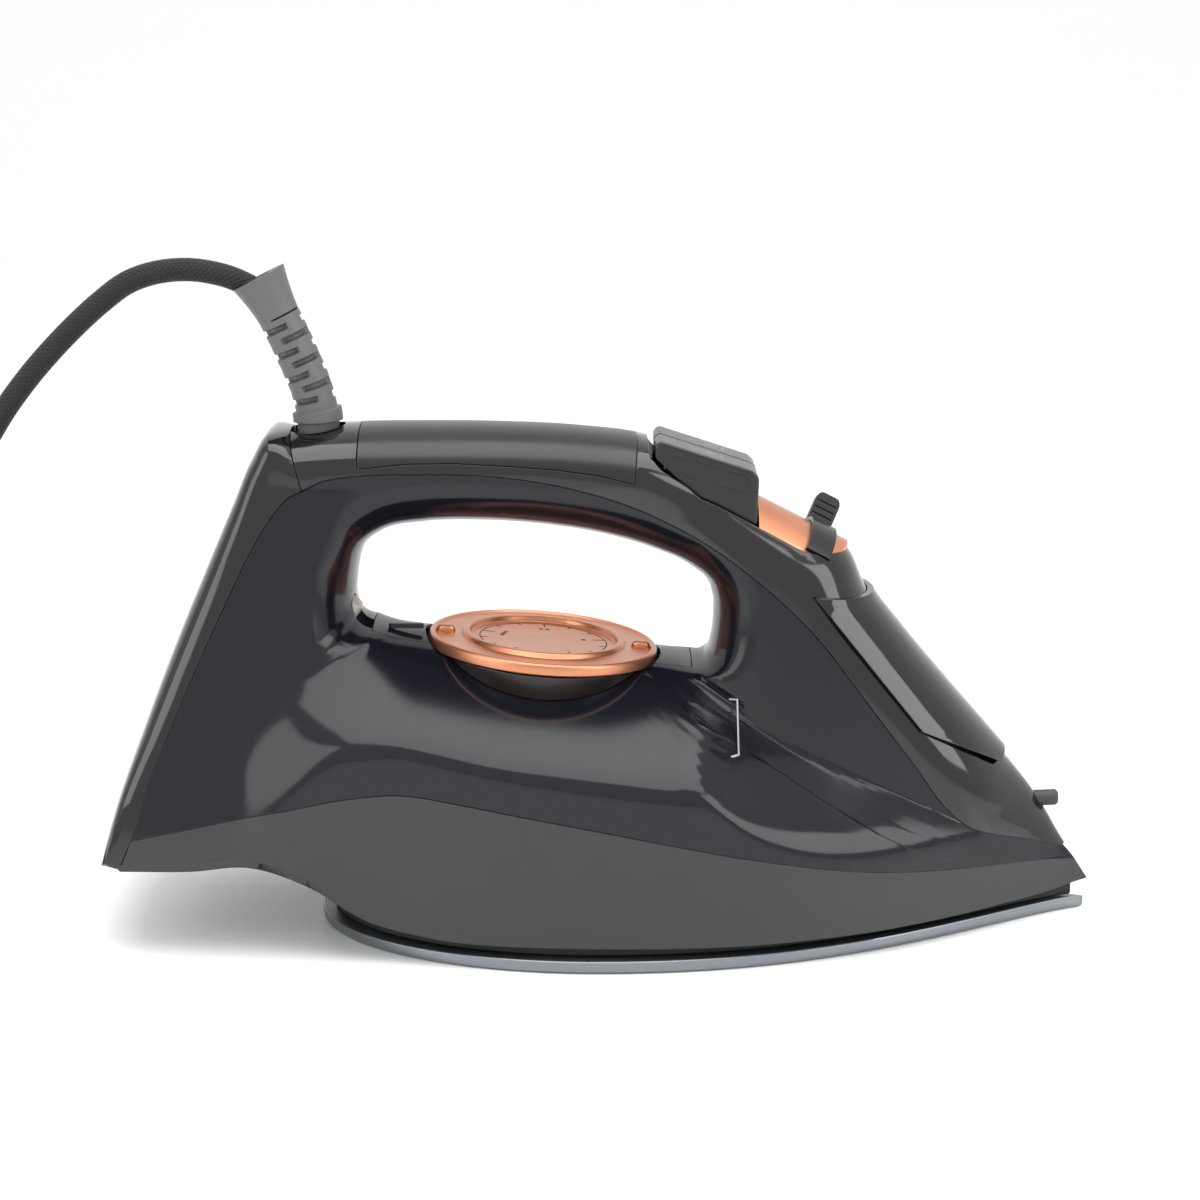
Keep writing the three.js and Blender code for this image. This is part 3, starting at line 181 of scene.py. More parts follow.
def grid_faces(rows, columns, wrap_rows=False, wrap_columns=False, start=0, flip=False):
    """Quads over a grid of rows x columns points stored row by row from start."""
    i = np.arange(rows if wrap_rows else rows - 1)[:, None]
    j = np.arange(columns if wrap_columns else columns - 1)[None, :]
    i2, j2 = (i + 1) % rows, (j + 1) % columns
    corners = [i * columns + j, i * columns + j2, i2 * columns + j2, i2 * columns + j]
    quads = np.stack([np.broadcast_to(c, (len(i), j.size)) for c in corners], -1).reshape(-1, 4)
    return (quads[:, ::-1] if flip else quads) + start


def slab(outer, inner, wrap=False):
    """A closed wall between two point grids of one shape, open or closed along its rows."""
    rows, columns = outer.shape[:2]
    count = rows * columns
    points = np.concatenate([outer.reshape(-1, 3), inner.reshape(-1, 3)])
    faces = grid_faces(rows, columns, wrap_rows=wrap).tolist()
    faces += grid_faces(rows, columns, wrap_rows=wrap, start=count, flip=True).tolist()
    last = columns - 1
    for i in range(rows if wrap else rows - 1):
        k = (i + 1) % rows
        for column, turned in ((0, False), (last, True)):
            quad = [i * columns + column, k * columns + column]
            quad += [count + k * columns + column, count + i * columns + column]
            faces.append(quad[::-1] if turned else quad)
    if not wrap:
        for i, turned in ((0, True), (rows - 1, False)):
            for j in range(last):
                quad = [i * columns + j, i * columns + j + 1]
                quad += [count + i * columns + j + 1, count + i * columns + j]
                faces.append(quad[::-1] if turned else quad)
    return points, faces


def solid(name, points, faces):
    """An object for joining and cutting, not yet a piece."""
    mesh = bpy.data.meshes.new(name)
    mesh.from_pydata((np.asarray(points, float) * MM).tolist(), [], [list(f) for f in faces])
    mesh.update()
    made = bpy.data.objects.new(name, mesh)
    scene.collection.objects.link(made)
    return made


def carve(base, *cuts):
    """Cuts base by (tool, operation) pairs and writes the result into its mesh."""
    for tool, operation in cuts:
        cut = base.modifiers.new("cut", "BOOLEAN")
        cut.object = tool
        cut.operation = operation
        cut.solver = "MANIFOLD"
    depsgraph = bpy.context.evaluated_depsgraph_get()
    result = bpy.data.meshes.new_from_object(base.evaluated_get(depsgraph))
    base.modifiers.clear()
    base.data = result
    return base


def drop(*tools):
    """Removes tools that have done their work."""
    for tool in tools:
        bpy.data.objects.remove(tool)


def copy_of(base, name):
    """A second object with its own copy of the mesh."""
    made = base.copy()
    made.data = base.data.copy()
    made.name = name
    scene.collection.objects.link(made)
    return made


def prism(name, outline, low, high, across=False):
    """An outline pulled from low to high: a plan outline upwards, a side outline across Y."""
    flat = np.asarray(outline, float)
    count = len(flat)
    ends = [np.full(count, low), np.full(count, high)]
    if across:
        points = [np.stack([flat[:, 0], end, flat[:, 1]], 1) for end in ends]
    else:
        points = [np.stack([flat[:, 0], flat[:, 1], end], 1) for end in ends]
    faces = [list(range(count))[::-1], [count + i for i in range(count)]]
    faces += [[i, (i + 1) % count, count + (i + 1) % count, count + i] for i in range(count)]
    made = solid(name, np.concatenate(points), faces)
    return outward(made)


def outward(made):
    """Closes coincident points and turns every face outwards."""
    work = bmesh.new()
    work.from_mesh(made.data)
    bmesh.ops.remove_doubles(work, verts=work.verts, dist=1e-7)
    bmesh.ops.recalc_face_normals(work, faces=work.faces)
    if work.calc_volume(signed=True) < 0:
        bmesh.ops.reverse_faces(work, faces=work.faces)
    work.to_mesh(made.data)
    work.free()
    return made


def turned(profile, sides=96):
    """Points and faces of a profile of (radius, height) turned about Z; ends close on the axis."""
    ring = np.linspace(0, 2 * math.pi, sides, endpoint=False)
    radius, height = np.array(profile, float).T
    points = np.stack(
        [
            radius[:, None] * np.cos(ring),
            radius[:, None] * np.sin(ring),
            np.broadcast_to(height[:, None], (len(profile), sides)),
        ],
        -1,
    ).reshape(-1, 3)
    faces = grid_faces(len(profile), sides, wrap_columns=True).tolist()
    return points, faces


def moved(points, matrix):
    """Points carried by a 4x4 matrix."""
    rotation = np.array(matrix.to_3x3())
    return np.asarray(points) @ rotation.T + np.array(matrix.translation)


def rounded(profile, radius, steps=5):
    """An open polyline whose corners become quadratic arcs that start radius before them."""
    p = [np.array(q, float) for q in profile]
    out = [p[0]]
    for before, corner, after in zip(p, p[1:], p[2:]):
        back, ahead = np.linalg.norm(before - corner), np.linalg.norm(after - corner)
        reach = min(radius, back / 2, ahead / 2)
        start = corner + (before - corner) / max(back, 1e-9) * reach
        end = corner + (after - corner) / max(ahead, 1e-9) * reach
        for k in range(steps + 1):
            t = k / steps
            out.append(start * (1 - t) ** 2 + corner * 2 * t * (1 - t) + end * t * t)
    out.append(p[-1])
    return [tuple(q) for q in out]


def spline(points, per_span=8):
    """A smooth line through points: centripetal Catmull-Rom spans."""
    p = np.array(points, float)
    p = np.vstack([2 * p[0] - p[1], p, 2 * p[-1] - p[-2]])
    out = []
    for a, b, c, d in zip(p, p[1:], p[2:], p[3:]):
        chords = [np.linalg.norm(v - u) for u, v in ((a, b), (b, c), (c, d))]
        knots = np.cumsum([0] + [max(chord, 1e-6) ** 0.5 for chord in chords])
        for t in np.linspace(knots[1], knots[2], per_span, endpoint=False):
            a1 = a + (b - a) * (t - knots[0]) / (knots[1] - knots[0])
            a2 = b + (c - b) * (t - knots[1]) / (knots[2] - knots[1])
            a3 = c + (d - c) * (t - knots[2]) / (knots[3] - knots[2])
            b1 = a1 + (a2 - a1) * (t - knots[0]) / (knots[2] - knots[0])
            b2 = a2 + (a3 - a2) * (t - knots[1]) / (knots[3] - knots[1])
            out.append(b1 + (b2 - b1) * (t - knots[1]) / (knots[2] - knots[1]))
    out.append(p[-2])
    return np.array(out)


def frames_along(path):
    """Tangent and two side vectors at each point, carried along without twist."""
    tangent = np.gradient(path, axis=0)
    tangent /= np.linalg.norm(tangent, axis=1)[:, None]
    side = np.cross(tangent[0], [0.0, 1.0, 0.02])
    side /= np.linalg.norm(side)
    sides = []
    for t in tangent:
        side = side - t * np.dot(side, t)
        side /= np.linalg.norm(side)
        sides.append(side.copy())
    sides = np.array(sides)
    return tangent, sides, np.cross(tangent, sides)


def rings_along(path, radius, around):
    """Points path + radius (cos a first + sin a second) for a round each point of the path."""
    _, first, second = frames_along(path)
    ring = np.linspace(0, 2 * math.pi, around, endpoint=False)[None, :, None]
    spokes = np.cos(ring) * first[:, None] + np.sin(ring) * second[:, None]
    return (path[:, None] + radius[..., None] * spokes).reshape(-1, 3)


def tube(path, radius, around=24):
    """A capped tube of one radius; UV is (turn, distance in mm)."""
    path = np.asarray(path, float)
    points = rings_along(path, np.full((len(path), 1), float(radius)), around)
    faces = grid_faces(len(path), around, wrap_columns=True).tolist()
    faces.append(list(range(around))[::-1])
    faces.append([len(points) - around + k for k in range(around)])
    far = np.concatenate([[0], np.cumsum(np.linalg.norm(np.diff(path, axis=0), axis=1))])
    uv = np.stack(
        [np.tile(np.arange(around) / around, len(path)), np.repeat(far, around)], 1
    )
    return points, faces, uv


# ------------------------------------------------------------------ finishes
# Moulded, painted and cast surfaces. Grain sizes are in real millimetres through Object
# coordinates, and every finish varies its roughness and height a little.


def grain(tree, size_mm, detail=2.0):
    """Noise with features of about size_mm, in Object coordinates."""
    place = node(tree, "TexCoord").outputs["Object"]
    noise = node(tree, "TexNoise", Vector=place, Scale=1000.0 / size_mm, Detail=detail)
    return noise.outputs["Fac"]


def spread(tree, value, low, high):
    """Maps a 0 to 1 value onto low to high."""
    return node(tree, "MapRange", Value=value, To_Min=low, To_Max=high).outputs["Result"]


def plastic(name, code, rough, grain_mm=0.35, bump_um=2.0, coat=0.0, round_mm=0.35):
    """Moulded plastic: sRGB colour, roughness that wanders with a 14 mm noise, moulding grain."""
    made, tree = new_material(name)
    wander = spread(tree, grain(tree, 14, 3), 0.85, 1.15)
    roughness = node(tree, "Math", {"operation": "MULTIPLY"}, _0=wander, _1=rough).outputs[0]
    edge = node(tree, "Bevel", {"samples": 4}, Radius=round_mm * MM).outputs[0]
    height = grain(tree, grain_mm, 3)
    bump = node(
        tree, "Bump", Strength=1.0, Distance=bump_um * 1e-6, Height=height, Normal=edge
    ).outputs[0]
    shader = node(
        tree, "BsdfPrincipled", Base_Color=color(code), Roughness=roughness, Normal=bump,
        Coat_Weight=coat, Coat_Roughness=0.06,
    )
    node(tree, "OutputMaterial", Surface=shader.outputs[0])
    return made


def metal(name, code, rough, grain_mm=0.25, bump_um=3.0, metallic=1.0, flake=0.0, coat=0.0):
    """Metal or metallic paint: fine grain in height, flakes as small changes of colour."""
    made, tree = new_material(name)
    speck = grain(tree, grain_mm, 2)
    wander = spread(tree, grain(tree, 9, 3), 0.8, 1.2)
    roughness = node(tree, "Math", {"operation": "MULTIPLY"}, _0=wander, _1=rough).outputs[0]
    tint = node(
        tree, "HueSaturation", Color=color(code), Value=spread(tree, speck, 1 - flake, 1 + flake)
    ).outputs[0]
    edge = node(tree, "Bevel", {"samples": 4}, Radius=0.3 * MM).outputs[0]
    bump = node(
        tree, "Bump", Strength=1.0, Distance=bump_um * 1e-6, Height=speck, Normal=edge
    ).outputs[0]
    shader = node(
        tree, "BsdfPrincipled", Base_Color=tint, Roughness=roughness, Metallic=metallic,
        Normal=bump, Coat_Weight=coat, Coat_Roughness=0.12,
    )
    node(tree, "OutputMaterial", Surface=shader.outputs[0])
    return made


def braid_material():
    """Woven sleeve: two diagonal yarn sets by UV, 12 yarns round and 3.2 mm of lead per cross."""
    made, tree = new_material("cord_braid")
    uv = node(tree, "UVMap", {"uv_map": "along"}).outputs[0]
    split = node(tree, "SeparateXYZ", Vector=uv)
    turn = node(tree, "Math", {"operation": "MULTIPLY"}, _0=split.outputs[0], _1=12.0).outputs[0]
    run = node(tree, "Math", {"operation": "MULTIPLY"}, _0=split.outputs[1], _1=1 / 1.6).outputs[0]
    waves = []
    for operation in ("ADD", "SUBTRACT"):
        phase = node(tree, "Math", {"operation": operation}, _0=turn, _1=run).outputs[0]
        angle = node(tree, "Math", {"operation": "MULTIPLY"}, _0=phase, _1=math.pi).outputs[0]
        wave = node(tree, "Math", {"operation": "SINE"}, _0=angle).outputs[0]
        waves.append(node(tree, "Math", {"operation": "ABSOLUTE"}, _0=wave).outputs[0])
    weave = node(tree, "Math", {"operation": "MULTIPLY"}, _0=waves[0], _1=waves[1]).outputs[0]
    fuzz = grain(tree, 0.3, 3)
    height = node(
        tree, "Math", {"operation": "MULTIPLY_ADD"}, _0=fuzz, _1=0.35, _2=weave
    ).outputs[0]
    bump = node(tree, "Bump", Strength=1.0, Distance=0.25e-3, Height=height).outputs[0]
    tint = node(tree, "ValToRGB", Fac=weave)
    tint.color_ramp.elements[0].color = color("#020202")
    tint.color_ramp.elements[1].color = color("#101011")
    shader = node(
        tree, "BsdfPrincipled", Base_Color=tint.outputs[0], Roughness=0.75, Normal=bump,
        Sheen_Weight=0.06, Sheen_Roughness=0.5,
    )
    node(tree, "OutputMaterial", Surface=shader.outputs[0])
    return made


def smoke_material():
    """Smoky see-through plastic: a tinted clear share under a glossy dark blue surface."""
    made, tree = new_material("tank_smoke")
    edge = node(tree, "Bevel", {"samples": 4}, Radius=0.35 * MM).outputs[0]
    height = grain(tree, 6.0, 2)
    bump = node(tree, "Bump", Strength=1.0, Distance=6e-6, Height=height, Normal=edge).outputs[0]
    wander = spread(tree, grain(tree, 14, 3), 0.10, 0.16)
    body = node(
        tree, "BsdfPrincipled", Base_Color=color("#16171f"), Roughness=wander, Normal=bump,
        Specular_IOR_Level=0.5,
    )
    clear = node(tree, "BsdfTransparent", Color=color("#8d909c"))
    mixed = node(tree, "MixShader", _0=0.72, _1=clear.outputs[0], _2=body.outputs[0])
    node(tree, "OutputMaterial", Surface=mixed.outputs[0])
    return made


def clear_material(name, code, share):
    """Clear moulded plastic: a tinted see-through share under a polished surface."""
    made, tree = new_material(name)
    ripple = node(
        tree, "Bump", Strength=1.0, Distance=8e-6, Height=grain(tree, 1.2, 2)
    ).outputs[0]
    body = node(tree, "BsdfPrincipled", Base_Color=color(code), Roughness=0.06, Normal=ripple)
    clear = node(tree, "BsdfTransparent", Color=color("#f4f2ee"))
    mixed = node(tree, "MixShader", _0=share, _1=clear.outputs[0], _2=body.outputs[0])
    node(tree, "OutputMaterial", Surface=mixed.outputs[0])
    return made


GLOSS = plastic("cover_gloss", "#070708", 0.10, grain_mm=4.0, bump_um=4.0, coat=0.25)
LID_GLOSS = plastic("lid_gloss", "#040405", 0.08, grain_mm=4.0, bump_um=4.0, coat=0.3)
BUTTON = plastic("button_plastic", "#0f0f10", 0.26, grain_mm=0.6, bump_um=3.0)
SATIN = plastic("skirt_satin", "#2a2a2b", 0.42, grain_mm=0.28, bump_um=5.0)
GRIP = plastic("grip_plastic", "#101011", 0.3, grain_mm=0.25, bump_um=5.0)
# Dark brown-black for the bowl under the dial: painted shade, tinted brown as a painted reflection
# of the copper dial.
DIAL_SHADE = plastic("seat_plastic", "#150c09", 0.22, grain_mm=0.6)
GUARD = plastic("guard_grey", "#58585a", 0.5, grain_mm=0.3, bump_um=5.0)
SHIELD = plastic("heat_plastic", "#0e0e0e", 0.6, grain_mm=0.3, bump_um=6.0)
INNER = plastic("inner_plastic", "#343437", 0.5, grain_mm=0.5)
INNER_DARK = plastic("inner_dark", "#101013", 0.5, grain_mm=0.5)
PALE = plastic("inner_white", "#b9b5aa", 0.5, grain_mm=0.5)
MARK = plastic("mark_black", "#050505", 0.5, grain_mm=0.4)
PRINT = plastic("print_grey", "#9a9aa0", 0.5, grain_mm=0.3, round_mm=0.02)
PLUG = plastic("plug_black", "#131313", 0.45, grain_mm=0.3, bump_um=6.0)
SEAL = plastic("rubber_black", "#0a0a0a", 0.7, grain_mm=0.3, bump_um=8.0)
HOSE = plastic("hose_rubber", "#9a968c", 0.6, grain_mm=0.4, bump_um=5.0)
BROWN = plastic("wire_brown", "#4a2a1a", 0.5, grain_mm=0.3)
BLUE = plastic("wire_blue", "#1e3670", 0.5, grain_mm=0.3)
COPPER = metal(
    "copper_paint", "#c98562", 0.34, grain_mm=0.12, bump_um=2.0, metallic=0.85, flake=0.12,
    coat=0.2,
)
SOLE = metal("sole_metal", "#83878b", 0.34, grain_mm=0.3, bump_um=3.0, metallic=0.9, flake=0.05)
STEEL = metal("bright_steel", "#b4b6b8", 0.28)
CAST = metal("cast_metal", "#8d8e90", 0.55, grain_mm=0.6, bump_um=25.0)
BRASS = metal("brass", "#b8934a", 0.3)
CHROME = metal("pin_chrome", "#c9c9c9", 0.16, bump_um=1.0)
BRAID = braid_material()
SMOKE = smoke_material()
LENS = clear_material("lens_clear", "#cfcac2", 0.55)
LAMP = clear_material("lamp_amber", "#c06a30", 0.6)

# ------------------------------------------------------------------ lead and plug
# 7 mm lead with a woven sleeve: out of the cord guard, over an arch, down behind the iron,
# into a two-layer coil, and round to a moulded round plug. One mesh follows one smooth path.

LEAD = [
    (-98.2, 0, 188.3), (-102.3, 0, 192.7), (-107.4, 0, 195.8), (-113.6, 0, 198.2),
    (-123.3, 0, 199.8), (-133.2, 0, 199), (-142, 0, 196), (-149.6, 0, 190.6),
    (-157.6, 0, 183.6), (-166, 0, 175.2), (-174, 0, 166.1), (-182, -0.5, 155.2),
    (-194, -2, 134), (-206, -5, 108), (-217, -8.5, 80), (-228, -12, 50), (-238, -15.2, 26),
    (-246, -18.5, 12.5), (-254, -19.3, 5.4),
]
COIL_CENTRE = (-262, 30)
COIL_OUTER, COIL_INNER, COIL_TURNS = 48.0, 28.0, 2.875
LAYER_LOW, LAYER_HIGH = 3.6, 10.65
POINTS_PER_TURN = 28
TAIL = [
    (-213.8, 22, 9.9), (-211.6, 13, 6.6), (-209.2, 4, 3.9), (-210.4, -7, 3.6), (-214, -19, 3.6),
    (-220.6, -31, 4.4), (-229, -39, 8.4), (-237, -42.6, 13.6), (-244, -44, 16.9),
    (-251.1, -44, 17.5), (-256, -44, 17.5),
]
CORD_DIAMETER = 7.0


def coil_points():
    """Two flat spirals: radius 48 to 28 mm and back out, one turn of lead lying on another."""
    turns = np.arange(0, 2 * COIL_TURNS * POINTS_PER_TURN + 1) / POINTS_PER_TURN
    inwards = np.minimum(turns, COIL_TURNS) / COIL_TURNS
    outwards = np.maximum(turns - COIL_TURNS, 0) / COIL_TURNS
    radius = COIL_OUTER - (COIL_OUTER - COIL_INNER) * (inwards - outwards)
    angle = -math.pi / 2 - 2 * math.pi * turns
    rise = np.clip((turns - COIL_TURNS + 0.22) / 0.36, 0, 1)
    height = LAYER_LOW + (LAYER_HIGH - LAYER_LOW) * rise**2 * (3 - 2 * rise)
    return np.stack(
        [COIL_CENTRE[0] + radius * np.cos(angle), COIL_CENTRE[1] + radius * np.sin(angle), height],
        1,
    )


route = spline(np.concatenate([LEAD, coil_points(), TAIL]), 4)
points, faces, uv = tube(route, CORD_DIAMETER / 2, 20)
cord = build("mains_lead", points, faces, None, BRAID, uv=uv, crease=60,
             stands_for=("cord_tube", "cord_coil", "cord_tail"))

# The plug: a round two-pin body and a tapered ribbed boot, one moulding;
# nickel-plated pins with rounded tips.

PLUG_PLACE = Matrix.Translation((-276, -44, 17.5)) @ Matrix.Rotation(-math.pi / 2, 4, "Y")
RIB_PITCH, RIB_HEIGHT = 3.6, 0.55
boot_line = [(0.0, -26.0), (4.3, -26.0), (4.6, -25.0)]
for k in range(6):
    z = -23.0 + k * RIB_PITCH
    width = 5.0 + k * 0.62
    crest = width + RIB_HEIGHT
    boot_line += [(width, z - 1.1), (crest, z - 0.6), (crest, z + 1.0), (width, z + 1.5)]
plug_line = [
    (8.6, -1.2), (12.4, 1.0), (15.2, 5.0), (16.6, 11), (17, 18), (17, 27), (16.2, 31),
    (14.6, 33.4), (13.6, 34), (0, 34),
]
points, faces = turned(rounded(boot_line + plug_line, 1.2, 3), 72)
plug = build("plug_moulding", moved(points, PLUG_PLACE), faces, "iron", PLUG,
             stands_for=("plug_body", "plug_boot"))
PIN_SPACING = 19.0
pin_line = [(0, 33), (2.35, 33), (2.35, 51.2), (1.9, 52.5), (0.9, 53.0), (0, 53.0)]
for name, side in (("plug_pin_right", -1), ("plug_pin_left", 1)):
    points, faces = turned(rounded(pin_line, 0.6, 3), 32)
    place = PLUG_PLACE @ Matrix.Translation((0, side * PIN_SPACING / 2, 0))
    build(name + "_plated", moved(points, place), faces, "iron", CHROME,
                      stands_for=(name,))
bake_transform(cord)

# ------------------------------------------------------------------ the body's shape
# The whole body is one skin round the hand opening. Three closed lines in side view, each of
# 42 stations, carry it: the opening, the parting line and the outline. Its half-width is a
# field of x and z (a column above a flared roof, held inside the plan outline of the base),
# drawn in to nothing at the opening and the outline by superelliptic crowns.

GAP = 0.3
OPENING = [
    (-74.2, 112), (-72.2, 117.5), (-66, 121.9), (-55, 124), (-36, 124.5), (-16, 123), (2, 119.8),
    (15, 115.8), (25.5, 111), (31, 106.5), (33, 101), (33.2, 94), (32.6, 88), (31.6, 84),
    (30, 81.6), (28.5, 81.1), (27, 81.2), (25, 81.5), (22, 82), (20, 82.3), (18, 82.6),
    (15, 83), (10, 83.6), (3, 84.4), (-6, 85.3), (-16, 86.3), (-26, 87.3), (-36, 88.3),
    (-46, 89.3), (-55, 90.3), (-63, 91.4), (-69, 92.6), (-72.5, 94), (-74, 95.8), (-74.9, 97.8),
    (-75.3, 99.8), (-75.5, 101.8), (-75.4, 103.8), (-75.2, 105.6), (-75, 107.2), (-74.8, 108.8),
    (-74.5, 110.4),
]
PARTING = [
    (-89.5, 136.5), (-83.5, 139.4), (-74.5, 140.9), (-55, 141.5), (-34, 141), (-13, 137.9),
    (8, 131.6), (22.5, 124.6), (35.2, 117.3), (44.9, 110), (54, 102.2), (64.4, 91.6), (73, 80.6),
    (83, 67.3), (94, 52.8), (102.5, 41), (109.5, 34.6), (121, 29.8), (133.5, 25.4), (142.4, 21.4),
    (146.4, 17), (134.9, 18.7), (117.3, 20.8), (100.2, 22.9), (75.4, 26.8), (43.5, 33.8),
    (10.4, 41.1), (-20, 46.9), (-42, 50.5), (-58, 52.2), (-76, 50.2), (-96, 45.8), (-118, 40.6),
    (-140, 35.9), (-138.6, 39.5), (-135.3, 50.3), (-128, 68.3), (-118.7, 89.5), (-110.5, 107),
    (-103.5, 121), (-97.5, 130.2), (-93.5, 134.6),
]
OUTLINE = [
    (-94, 152.5), (-84, 153.3), (-72, 153.8), (-54, 154), (-32, 153.8), (-8, 152.6), (14, 149.5),
    (34, 140.5), (50, 130.8), (62, 123.4), (73.8, 115.8), (80.2, 102.9), (90.6, 89.3),
    (103.6, 73.9), (116.7, 58.9), (126.8, 47), (133, 39), (137.8, 31.5), (141.2, 25.5),
    (143.6, 21.6), (147.4, 15.6), (151, 10), (139.4, 8), (118, 7.4), (92, 7.4), (55, 7.5),
    (14, 7.6), (-24, 7.8), (-50, 8.8),
    (-70, 13), (-88, 23.6), (-104, 28.8), (-122, 27.2), (-143.5, 26.8), (-151, 25.8), (-147, 41.5),
    (-138.5, 65.5), (-128.5, 91), (-119.5, 112), (-111, 131.5), (-105, 145), (-100, 152.2),
]
RIB_BENDS = {
    16: (92, 43), 17: (104, 32), 18: (104, 27), 19: (104, 24.5), 20: (104, 22.5),
    21: (98, 26), 22: (84, 31),
}
STATIONS = len(OPENING)
COVER_END, SKIRT_START, SKIRT_END = 19, 20, 33
INNER_ROUND = [14] * 11 + [13, 11, 8] + [4] * 18 + [7] + [11] * 2 + [14] * 7
OUTER_ROUND = [13] * 7 + [21] * 5 + [20] * 5 + [14, 9, 5, 3] + [0] * 13 + [8] + [10] * 7
CROWN_POWER, REAR_POWER = 2.2, 4.0
HANDLE_HALF = 20.5
SHOULDER = 6.0
HANDLE_LEVEL = 137.0


def hermite(points):
    """A smooth function through (x, value) pairs with secant slopes, flat beyond its ends."""
    x, v = np.array(points, float).T
    slope = np.gradient(v, x)
    slope[1:-1] = (v[2:] - v[:-2]) / (x[2:] - x[:-2])

    def value(at):
        """The function at x: a + t(m0 + t(3(b-a) - 2 m0 - m1 + t(2(a-b) + m0 + m1)))."""
        at = np.clip(at, x[0], x[-1])
        i = np.clip(np.searchsorted(x, at, side="right") - 1, 0, len(x) - 2)
        span = x[i + 1] - x[i]
        t = (at - x[i]) / span
        a, b, m0, m1 = v[i], v[i + 1], slope[i] * span, slope[i + 1] * span
        return a + t * (m0 + t * (3 * (b - a) - 2 * m0 - m1 + t * (2 * (a - b) + m0 + m1)))

    return value


plan_width = hermite([
    (-151, 45.2), (-140, 45.6), (-117, 47.3), (-93, 48.6), (-75, 49.6), (-62, 51.2), (-46, 54.6),
    (-28, 57.6), (-8, 58.8), (13, 59), (34, 57.4), (51, 54), (75, 45.8), (91.5, 37.8),
    (108.6, 27.4), (121, 19), (131, 12), (139.4, 6.4), (147, 2.2), (151, 0.8),
])
crease_height = hermite([
    (-151, 78), (-110, 81), (-90, 85), (-75, 88.5), (-60, 90.4), (-36, 88.3), (-10, 85.8),
    (15, 83.2), (27, 81.4), (31.5, 76.6), (40.5, 68.4), (52, 61.2), (64, 55.2), (78, 49.6),
    (92, 43.6), (106, 36.8), (151, 10),
])
crease_width = hermite([
    (-151, 34.6), (-110, 33.8), (-90, 31), (-77, 24), (-62, 14), (-50, 12), (20, 12), (27, 15),
    (32, 20.5), (40, 24), (52, 26), (70, 27.2), (92, 27.4), (106, 26.4), (151, 26),
])
roof_flare = hermite([
    (-151, 0.28), (-110, 0.32), (-92, 0.6), (-75, 1.2), (-55, 1.7), (20, 1.7), (45, 1.35),
    (80, 1.15), (151, 1),
])


def half_width(x, z):
    """min(column + flare below the crease, plan width), with a 6 mm soft shoulder."""
    crease = crease_height(x)
    above = np.clip((z - crease) / (HANDLE_LEVEL - crease), 0, 1)
    column = crease_width(x) * (1 - above) + HANDLE_HALF * above
    upper = column + roof_flare(x) * np.maximum(0, crease - z)
    base = plan_width(x)
    soft = np.maximum(SHOULDER - np.abs(upper - base), 0)
    return np.minimum(upper, base) - soft * soft / (4 * SHOULDER)


def slant(x, z):
    """How much longer a way across the iron is than one square to its side."""
    along = (half_width(x + 1, z) - half_width(x - 1, z)) / 2
    upwards = (half_width(x, z + 1) - half_width(x, z - 1)) / 2
    return np.sqrt(1 + along**2 + upwards**2)


def quarter(ratio, power):
    """Height of a superelliptic quarter: (1 - (1 - ratio)^power)^(1/power)."""
    return (1 - (1 - np.clip(ratio, 0, 1)) ** power) ** (1 / power)


FINE_MM = 2.2


def span_counts():
    """Samples per station span, so that none of the three lines steps more than FINE_MM."""
    longest = np.zeros(STATIONS)
    for loop in (OPENING, PARTING, OUTLINE):
        p = np.array(loop, float)
        longest = np.maximum(longest, np.linalg.norm(np.roll(p, -1, 0) - p, axis=1))
    return np.maximum(np.ceil(longest / FINE_MM), 3).astype(int)


COUNTS = span_counts()
STARTS = np.concatenate([[0], np.cumsum(COUNTS)])
STATION_AT = np.concatenate([i + np.arange(n) / n for i, n in enumerate(COUNTS)])


def dense_loop(points, corners=()):
    """The closed loop at every sample: cubic spans, with straight ends at corners."""
    p = np.array(points, float)
    step = np.roll(p, -1, 0) - p
    chord = np.linalg.norm(step, axis=1)[:, None]
    ahead = step / chord
    behind, chord_behind = np.roll(ahead, 1, 0), np.roll(chord, 1, 0)
    tangent = (ahead * chord_behind + behind * chord) / (chord + chord_behind)
    leaving, arriving = tangent.copy(), tangent.copy()
    for c in corners:
        leaving[c], arriving[c] = ahead[c], behind[c]
    spans = []
    for i, n in enumerate(COUNTS):
        t = (np.arange(n) / n)[:, None]
        a, b = p[i], p[(i + 1) % len(p)]
        m0, m1 = leaving[i] * chord[i], arriving[(i + 1) % len(p)] * chord[i]
        spans.append(a + t * (m0 + t * (3 * (b - a) - 2 * m0 - m1 + t * (2 * (a - b) + m0 + m1))))
    return np.concatenate(spans)


def by_station(values):
    """Station values drawn straight between stations, at every sample."""
    closed = list(values) + [values[0]]
    return np.interp(STATION_AT, np.arange(STATIONS + 1), closed)


opening = dense_loop(OPENING)
parting = dense_loop(PARTING, (19, 20, 33))
outline = dense_loop(OUTLINE, (21, 33, 34))
middles = [
    RIB_BENDS.get(i, tuple((np.array(OPENING[i]) + np.array(PARTING[i])) / 2))
    for i in range(STATIONS)
]
bends = dense_loop(middles)
straight = (STATION_AT <= 15) | (STATION_AT >= 23)
bends[straight] = ((opening + parting) / 2)[straight]
inner_round = by_station(INNER_ROUND)
outer_round = by_station(OUTER_ROUND)
outer_power = by_station([CROWN_POWER] * SKIRT_END + [REAR_POWER] * (STATIONS - SKIRT_END))
CROWN_ROWS, FLAT_ROWS = 9, 16


def moved_in(loop, inset, side):
    """The loop moved into the material by its own normal."""
    run = np.roll(loop, -1, 0) - np.roll(loop, 1, 0)
    run /= np.linalg.norm(run, axis=1)[:, None]
    return loop + side * inset * np.stack([run[:, 1], -run[:, 0]], 1)


